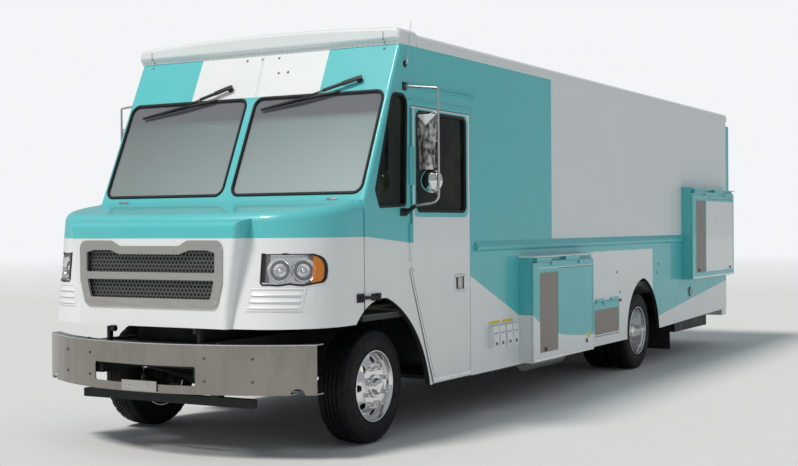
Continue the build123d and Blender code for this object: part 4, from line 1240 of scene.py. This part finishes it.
# Name, and ranges of y and z
BOX_DOORS = [("front", 2.260, 3.690, 0.370, 1.240), ("rear", 6.890, 8.680, 0.915, 1.940)]
FLUTES = (-0.008, 0.0, 0.008)
STRIP_IN = 0.016
KNUCKLES = 12
INLETS_Y = (1.640, 1.766, 1.907, 2.033)
LOCKS = [(5.984, 1.029), (6.038, 1.123), (4.699, 1.078), (4.785, 0.867)]
LABELS_Y = (1.650, 1.916)


def make_box_door(name, y0, y1, z0, z1):
    trim, latches = Shape(), Shape()
    for y in [end + flute for end in (y0 + STRIP_IN, y1 - STRIP_IN) for flute in FLUTES]:
        trim.bar([(BOX_OUT + 0.001, y, z + 0.004) for z in (z0, z1)], SIDE_OUT, 0.005, 0.004)
    trim.bar([(BOX_OUT + 0.022, y, z0 + 0.018) for y in (y0 + 0.03, y1 - 0.03)], SIDE_OUT, 0.020, 0.004)
    trim.bar([(BOX_OUT + 0.020, y, z1 - 0.049) for y in (y0 + 0.10, y1 - 0.05)], SIDE_OUT, 0.008, 0.006)
    pitch, length = (y1 - y0 - 0.17) / KNUCKLES, (y1 - y0) / 14
    for start in [y0 + 0.11 + k * pitch for k in range(KNUCKLES)]:
        ends = (start, start + length)
        latches.bar([(BOX_OUT + 0.019, y, z1 - 0.060) for y in ends], SIDE_OUT, 0.006, 0.004)
    for y in (y0 + 0.27, y1 - 0.19):
        latches.box(BOX_OUT + 0.018, BOX_OUT + 0.027, y - 0.014, y + 0.014, z0 + 0.086, z0 + 0.122)
        latches.tube([(BOX_OUT + 0.030, y, z) for z in (z0 + 0.084, z0 + 0.108)], 0.006, 10)
    trim.save(f"box_trim_{name}", f"service_door_{name}", "aluminium", bevel=0.001)
    latches.save(f"box_latches_{name}", f"service_door_{name}", "dull", bevel=0.001)


def make_box_fittings():
    for name, body, *ranges in PANELS:
        Shape().box(*ranges).save(name, body, "panel_mesh")
    for door in BOX_DOORS:
        make_box_door(*door)
    label = Shape().box(BOX_OUT + 0.0195, BOX_OUT + 0.0205, 3.520, 3.600, 0.500, 0.545)
    label.save("label_box", "service_door_front", "label")


def make_inlet_fittings():
    latches = Shape()
    for y in INLETS_Y:
        latches.box(1.270, 1.2712, y + 0.035, y + 0.075, 0.572, 0.600)
        latches.tube([(1.2690, y + 0.028, 0.672), (1.2690, y + 0.082, 0.672)], 0.0022, 8)
    latches.domes([on_side(y, z) for y, z in LOCKS], SIDE_OUT, 0.016, 0.005, 16)
    latches.save("inlet_latches", "body", "dull")
    labels = Shape()
    for y in LABELS_Y:
        labels.box(SKIN, SKIN + 0.0012, y, y + 0.210, 0.748, 0.772)
    labels.save("label_strips", "body", "label")


# Front end: bumper bolts and lip, hood straps and the cowl's hinges

BUMPER_R = 2.0235
BUMPER_FRONT = -1.270
BUMPER_BOLT = [(-0.004, 0.011), (0.002, 0.011), (0.0035, 0.008), (0.006, 0.0075), (0.007, 0.005)]
BUMPER_BOLTS = [(0.505, 0.545), (0.505, 0.697), (0.820, 0.545), (0.820, 0.697)]
LIP_HALF, LIP_Z = 1.190, 0.7865
STRAP = [(1.232, -0.405, 1.070), (1.236, -0.330, 1.070), (1.232, -0.170, 1.066)]
STRAP_GRIP = [(1.234, -0.168, 1.040), (1.234, -0.168, 1.094)]
# Ranges of x, y and z
STRAP_PLATE = (SKIN, 1.230, -0.430, -0.345, 1.040, 1.100)
STRAP_FOOT = (SKIN, 1.229, -0.235, -0.110, 1.044, 1.094)
COWL_HINGES_X = (0.950, -0.976)


def bumper_y(x):
    return BUMPER_FRONT + BUMPER_R - math.sqrt(BUMPER_R ** 2 - x * x)


def make_bumper_bolts():
    bolts = Shape()
    for x, z in BUMPER_BOLTS:
        bolts.lathe(BUMPER_BOLT, (x, bumper_y(x), z), (x / BUMPER_R, -0.95, 0), 12)
    bolts.domes([(0.573, -1.140, 0.790)], (0, 0, 1), 0.012, 0.008, 10)
    bolts.domes([(0.089, -1.2715, 0.500)], FRONT_OUT, 0.008, 0.004, 10)
    bolts.both_sides().save("bumper_bolts", "body", "dull")


def make_hood_straps():
    straps = Shape().box(*STRAP_PLATE).bar(STRAP, SIDE_OUT, 0.024, 0.010).tube(STRAP_GRIP, 0.008)
    straps.both_sides().save("hood_straps", "hood", "rubber", ["hood_latches"], bevel=0.004)
    Shape().box(*STRAP_FOOT).both_sides().save("strap_feet", "body", "rubber", bevel=0.004)


def make_front_fittings():
    make_bumper_bolts()
    make_hood_straps()
    clips = Shape()
    for x in COWL_HINGES_X:
        clips.box(x - 0.045, x + 0.045, -0.3295, -0.3135, 1.752, 1.768)
        clips.tube([(x - 0.030, -0.330, 1.762), (x + 0.030, -0.330, 1.762)], 0.009)
    clips.save("cowl_hinges", "body", "steel", bevel=0.002)
    across = [k / 20 * LIP_HALF for k in range(-20, 21)]
    lip = Shape().tube([(x, bumper_y(x) + 0.002, LIP_Z) for x in across], 0.0042, 8)
    lip.save("bumper_lip", "body", "chrome")


# Antenna, on a round black foot

ANTENNA_FOOT = [(-0.001, 0.024), (0.004, 0.025), (0.009, 0.020), (0.012, 0.011)]
ANTENNA_NECK = [(1.226, 0.262, 2.756), (1.232, 0.267, 2.766), (1.236, 0.275, 2.810)]
ANTENNA_MAST = [(1.236, 0.275, 2.808), (1.2375, 0.300, 2.944), (1.240, 0.323, 3.078)]
MAST_RADII = [0.0028, 0.0022, 0.0016]


def make_antenna():
    foot = Shape().lathe(ANTENNA_FOOT, on_side(0.262, 2.756), SIDE_OUT, 24)
    foot.save("antenna_foot", "body", "trim", ["antenna"])
    mast = Shape().tube(ANTENNA_NECK, 0.006, 10).tube(ANTENNA_MAST, MAST_RADII, 8)
    mast.save("antenna_mast", "body", "chrome")


# Cab: the seat's cushions, swelled by a cloth simulation, the steering wheel and the dials

SEAT_X = (0.245, 0.695)
# Side outlines, as (y, z)
CUSHION_SIDE = [(0.715, 1.255), (1.150, 1.255), (1.160, 1.345), (0.715, 1.335)]
BACK_SIDE = [(1.105, 1.375), (1.165, 1.375), (1.232, 2.025), (1.178, 2.035)]
CUSHION_SWELL, BACK_SWELL = 0.014, 0.012
# Ranges of x, y and z
SEAT_POST = (0.370, 0.570, 0.800, 1.080, 0.940, 1.235)
SEAT_PAN = (0.240, 0.700, 0.720, 1.180, 1.228, 1.244)
VOXEL = 0.012
PRESSURE = 4
CLOTH_FRAMES = 20
STEERING_AT = Vector((0.470, 0.330, 1.560))
COLUMN_FOOT = (0.470, 0.020, 1.262)
STEERING_LEAN = math.radians(46)
RIM_R, RIM_THICK = 0.216, 0.012
HUB = [(-0.02, 0.035), (0.010, 0.040), (0.016, 0.030), (0.018, 0.001)]
# Place across the dashboard, and radius
DIALS = [(0.380, 0.045), (0.500, 0.045), (0.600, 0.026), (0.290, 0.026)]
DASH_Y, DIALS_Z = 0.060, 1.310


def apply_modifier(name):
    bpy.ops.object.modifier_apply(modifier=name)


def cushion(name, outline, swell):
    """A pad from its side outline, remeshed, inflated with its movement capped, and smoothed."""
    shape = Shape().loft([[(x, y, z) for y, z in outline] for x in SEAT_X])
    piece = shape.save(name, "body", "vinyl")
    bpy.context.view_layer.objects.active = piece
    remesh = piece.modifiers.new("remesh", "REMESH")
    remesh.mode = "VOXEL"
    remesh.voxel_size = VOXEL
    remesh.use_smooth_shade = True
    apply_modifier("remesh")
    start = [v.co.copy() for v in piece.data.vertices]
    cloth = piece.modifiers.new("cloth", "CLOTH")
    cloth.settings.use_pressure = True
    cloth.settings.uniform_pressure_force = PRESSURE
    cloth.settings.effector_weights.gravity = 0
    for number in range(1, CLOTH_FRAMES + 1):
        bpy.context.scene.frame_set(number)
    apply_modifier("cloth")
    bpy.context.scene.frame_set(1)
    for vert, rest in zip(piece.data.vertices, start):
        move = vert.co - rest
        if move.length > swell:
            vert.co = rest + move.normalized() * swell
    smooth = piece.modifiers.new("smooth", "SUBSURF")
    smooth.levels = smooth.render_levels = 1
    apply_modifier("smooth")
    return piece


def make_seat():
    base = cushion("seat_cushion", CUSHION_SIDE, CUSHION_SWELL)
    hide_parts("driver_seat")
    cushion("seat_back", BACK_SIDE, BACK_SWELL)
    Shape().box(*SEAT_POST).box(*SEAT_PAN).save("seat_post", "body", "trim", bevel=0.004)


def make_steering():
    axis = Vector((0, math.sin(STEERING_LEAN), math.cos(STEERING_LEAN)))
    turns = [k / 10 * CIRCLE for k in range(10)]
    rim = [(RIM_THICK * math.sin(a), RIM_R + RIM_THICK * math.cos(a)) for a in turns]
    shape = Shape().lathe(rim, STEERING_AT, axis, 48, closed=True)
    shape.lathe(HUB, STEERING_AT, axis, 24)
    for k in range(3):
        across = Matrix.Rotation(CIRCLE * k / 3, 3, axis) @ Vector((1, 0, 0))
        shape.bar([STEERING_AT + across * 0.03, STEERING_AT + across * 0.210], axis, 0.026, 0.008)
    shape.tube([STEERING_AT, COLUMN_FOOT], 0.024)
    shape.save("wheel_and_column", "body", "trim", ["steering_wheel"])


def make_dials():
    dials = Shape()
    for x, r in DIALS:
        profile = [(-0.002, r), (0.004, r), (0.005, r - 0.005), (0.001, r - 0.006), (0.001, 0.001)]
        dials.lathe(profile, (x, DASH_Y, DIALS_Z), REAR_OUT, 28)
    dials.save("dash_dials", "body", "steel")


# Rear end and right side: lamp rims, handles, the cabinet's louvre and the counter's brackets

REAR_LAMP_X, REAR_LAMP_Z = 1.080, 1.060
LAMP_RIM = [(0.0, 0.060), (0.012, 0.062), (0.019, 0.058), (0.014, 0.054), (0.0, 0.054)]
HANDLE_X, HANDLE_OUT = 0.330, 0.036
HANDLE_Z = (1.560, 1.700)
HANDLE_PLATE = (HANDLE_X - 0.030, HANDLE_X + 0.030, BODY_END, BODY_END + 0.006, 1.520, 1.740)
CABINET_END = 9.0005
SLAT_X = (0.660, 1.100)
SLATS_Z = [1.46 + k * 0.03 for k in range(9)]
BRACKETS_Y = (3.000, 3.850, 4.700)
BRACKET_HALF = 0.006
# As (x, z)
BRACKET = [(-SKIN, 1.345), (-1.430, 1.345), (-SKIN, 1.180)]
PULLS_Y = (3.100, 4.600)
PULL_Z = 1.470
# How far along y, and x
PULL = [(-0.05, -SKIN), (-0.05, -1.244), (0.05, -1.244), (0.05, -SKIN)]


def make_rear_fittings():
    rims = Shape()
    for x in (REAR_LAMP_X, -REAR_LAMP_X):
        rims.lathe(LAMP_RIM, (x, BODY_END, REAR_LAMP_Z), REAR_OUT, 32, closed=True)
    rims.save("rear_lamp_rims", "body", "rubber")
    low, high = HANDLE_Z
    grip = [(0, low), (HANDLE_OUT, low), (HANDLE_OUT, high), (0, high)]
    handle = Shape().tube([(HANDLE_X, BODY_END + out, z) for out, z in grip], 0.008)
    handle.box(*HANDLE_PLATE).save("rear_door_handle", "rear_door", "steel", bevel=0.002)
    slats = Shape()
    for z in SLATS_Z:
        slats.bar([(x, CABINET_END, z) for x in SLAT_X], (0, 1, 0.5), 0.020, 0.004)
    slats.save("cabinet_louvre", "body", "teal")


def make_counter_fittings():
    brackets = Shape()
    for y in BRACKETS_Y:
        brackets.loft([[(x, side, z) for x, z in BRACKET] for side in (y - BRACKET_HALF, y + BRACKET_HALF)])
    brackets.save("counter_brackets", "body", "steel")
    pulls = Shape()
    for y in PULLS_Y:
        pulls.tube([(x, y + along, PULL_Z) for along, x in PULL], 0.006)
    pulls.save("hatch_pulls", "serving_hatch", "steel")


# Stage: a pale floor that fades into the pale surround, soft light all round and a broad key from the front

GROUND = (0.74, 0.74, 0.73)
SURROUND = (0.90, 0.91, 0.93)
SKY_LIGHT = (0.86, 0.94, 1.0)
KEY_COLOUR = (1.0, 0.97, 0.92)
KEY_FROM = (-0.30, -0.80, 1.20)
KEY_STRENGTH, KEY_SPREAD, SKY_STRENGTH = 2.4, math.radians(14), 0.40
FADE_START, FADE_END = 16, 55
FLOOR_R = 140


def make_floor():
    n = Nodes("floor")
    far = n.add("VectorMath")
    far.operation = "LENGTH"
    n.link(n.place, far.inputs[0])
    glow = n.add("Emission")
    glow.inputs[0].default_value = (*SURROUND, 1)
    worn = n.ramp(n.noise(3, 6), 0.3, 0.7, 0, 0.3)
    n.set(Base_Color=n.mix(worn, GROUND, shaded(GROUND, 0.93)), Roughness=0.85)
    blend = n.add("MixShader")
    n.link(n.ramp(far.outputs["Value"], FADE_START, FADE_END), blend.inputs[0])
    n.link(n.shader.outputs[0], blend.inputs[1])
    n.link(glow.outputs[0], blend.inputs[2])
    n.link(blend.outputs[0], n.tree.nodes["Material Output"].inputs["Surface"])
    bpy.ops.mesh.primitive_circle_add(vertices=96, radius=FLOOR_R, fill_type="NGON", location=(0, 0, 0))
    floor = bpy.context.object
    floor.name = "floor"
    floor.data.materials.append(n.material)


def background(tree, colour, strength):
    node = tree.nodes.new("ShaderNodeBackground")
    node.inputs[0].default_value = (*colour, 1)
    node.inputs[1].default_value = strength
    return node.outputs[0]


def make_world():
    """Pale where the camera sees it, also through glass, and a soft cool light for all else."""
    world = bpy.data.worlds.new("world")
    bpy.context.scene.world = world
    world.use_nodes = True
    tree = world.node_tree
    tree.nodes.clear()
    path = tree.nodes.new("ShaderNodeLightPath")
    seen = tree.nodes.new("ShaderNodeMath")
    seen.operation = "MAXIMUM"
    blend = tree.nodes.new("ShaderNodeMixShader")
    out = tree.nodes.new("ShaderNodeOutputWorld")
    tree.links.new(path.outputs["Is Camera Ray"], seen.inputs[0])
    tree.links.new(path.outputs["Is Transmission Ray"], seen.inputs[1])
    tree.links.new(seen.outputs[0], blend.inputs[0])
    tree.links.new(background(tree, SKY_LIGHT, SKY_STRENGTH), blend.inputs[1])
    tree.links.new(background(tree, SURROUND, 1.0), blend.inputs[2])
    tree.links.new(blend.outputs[0], out.inputs[0])


def make_key():
    key = bpy.data.lights.new("key", "SUN")
    key.energy = KEY_STRENGTH
    key.angle = KEY_SPREAD
    key.color = KEY_COLOUR
    lamp = bpy.data.objects.new("key", key)
    lamp.rotation_euler = Vector(KEY_FROM).to_track_quat("Z", "Y").to_euler()
    bpy.context.scene.collection.objects.link(lamp)


bpy.context.scene.view_settings.view_transform = "Standard"
make_camera()
make_materials()
dress_nodes()
make_wheels()
make_window_rubbers()
make_wipers()
make_fixings()
make_mouldings()
make_seams()
make_headlamps()
make_vents()
make_mirrors()
make_door_fittings()
make_box_fittings()
make_inlet_fittings()
make_front_fittings()
make_antenna()
make_seat()
make_steering()
make_dials()
make_rear_fittings()
make_counter_fittings()
make_floor()
make_world()
make_key()
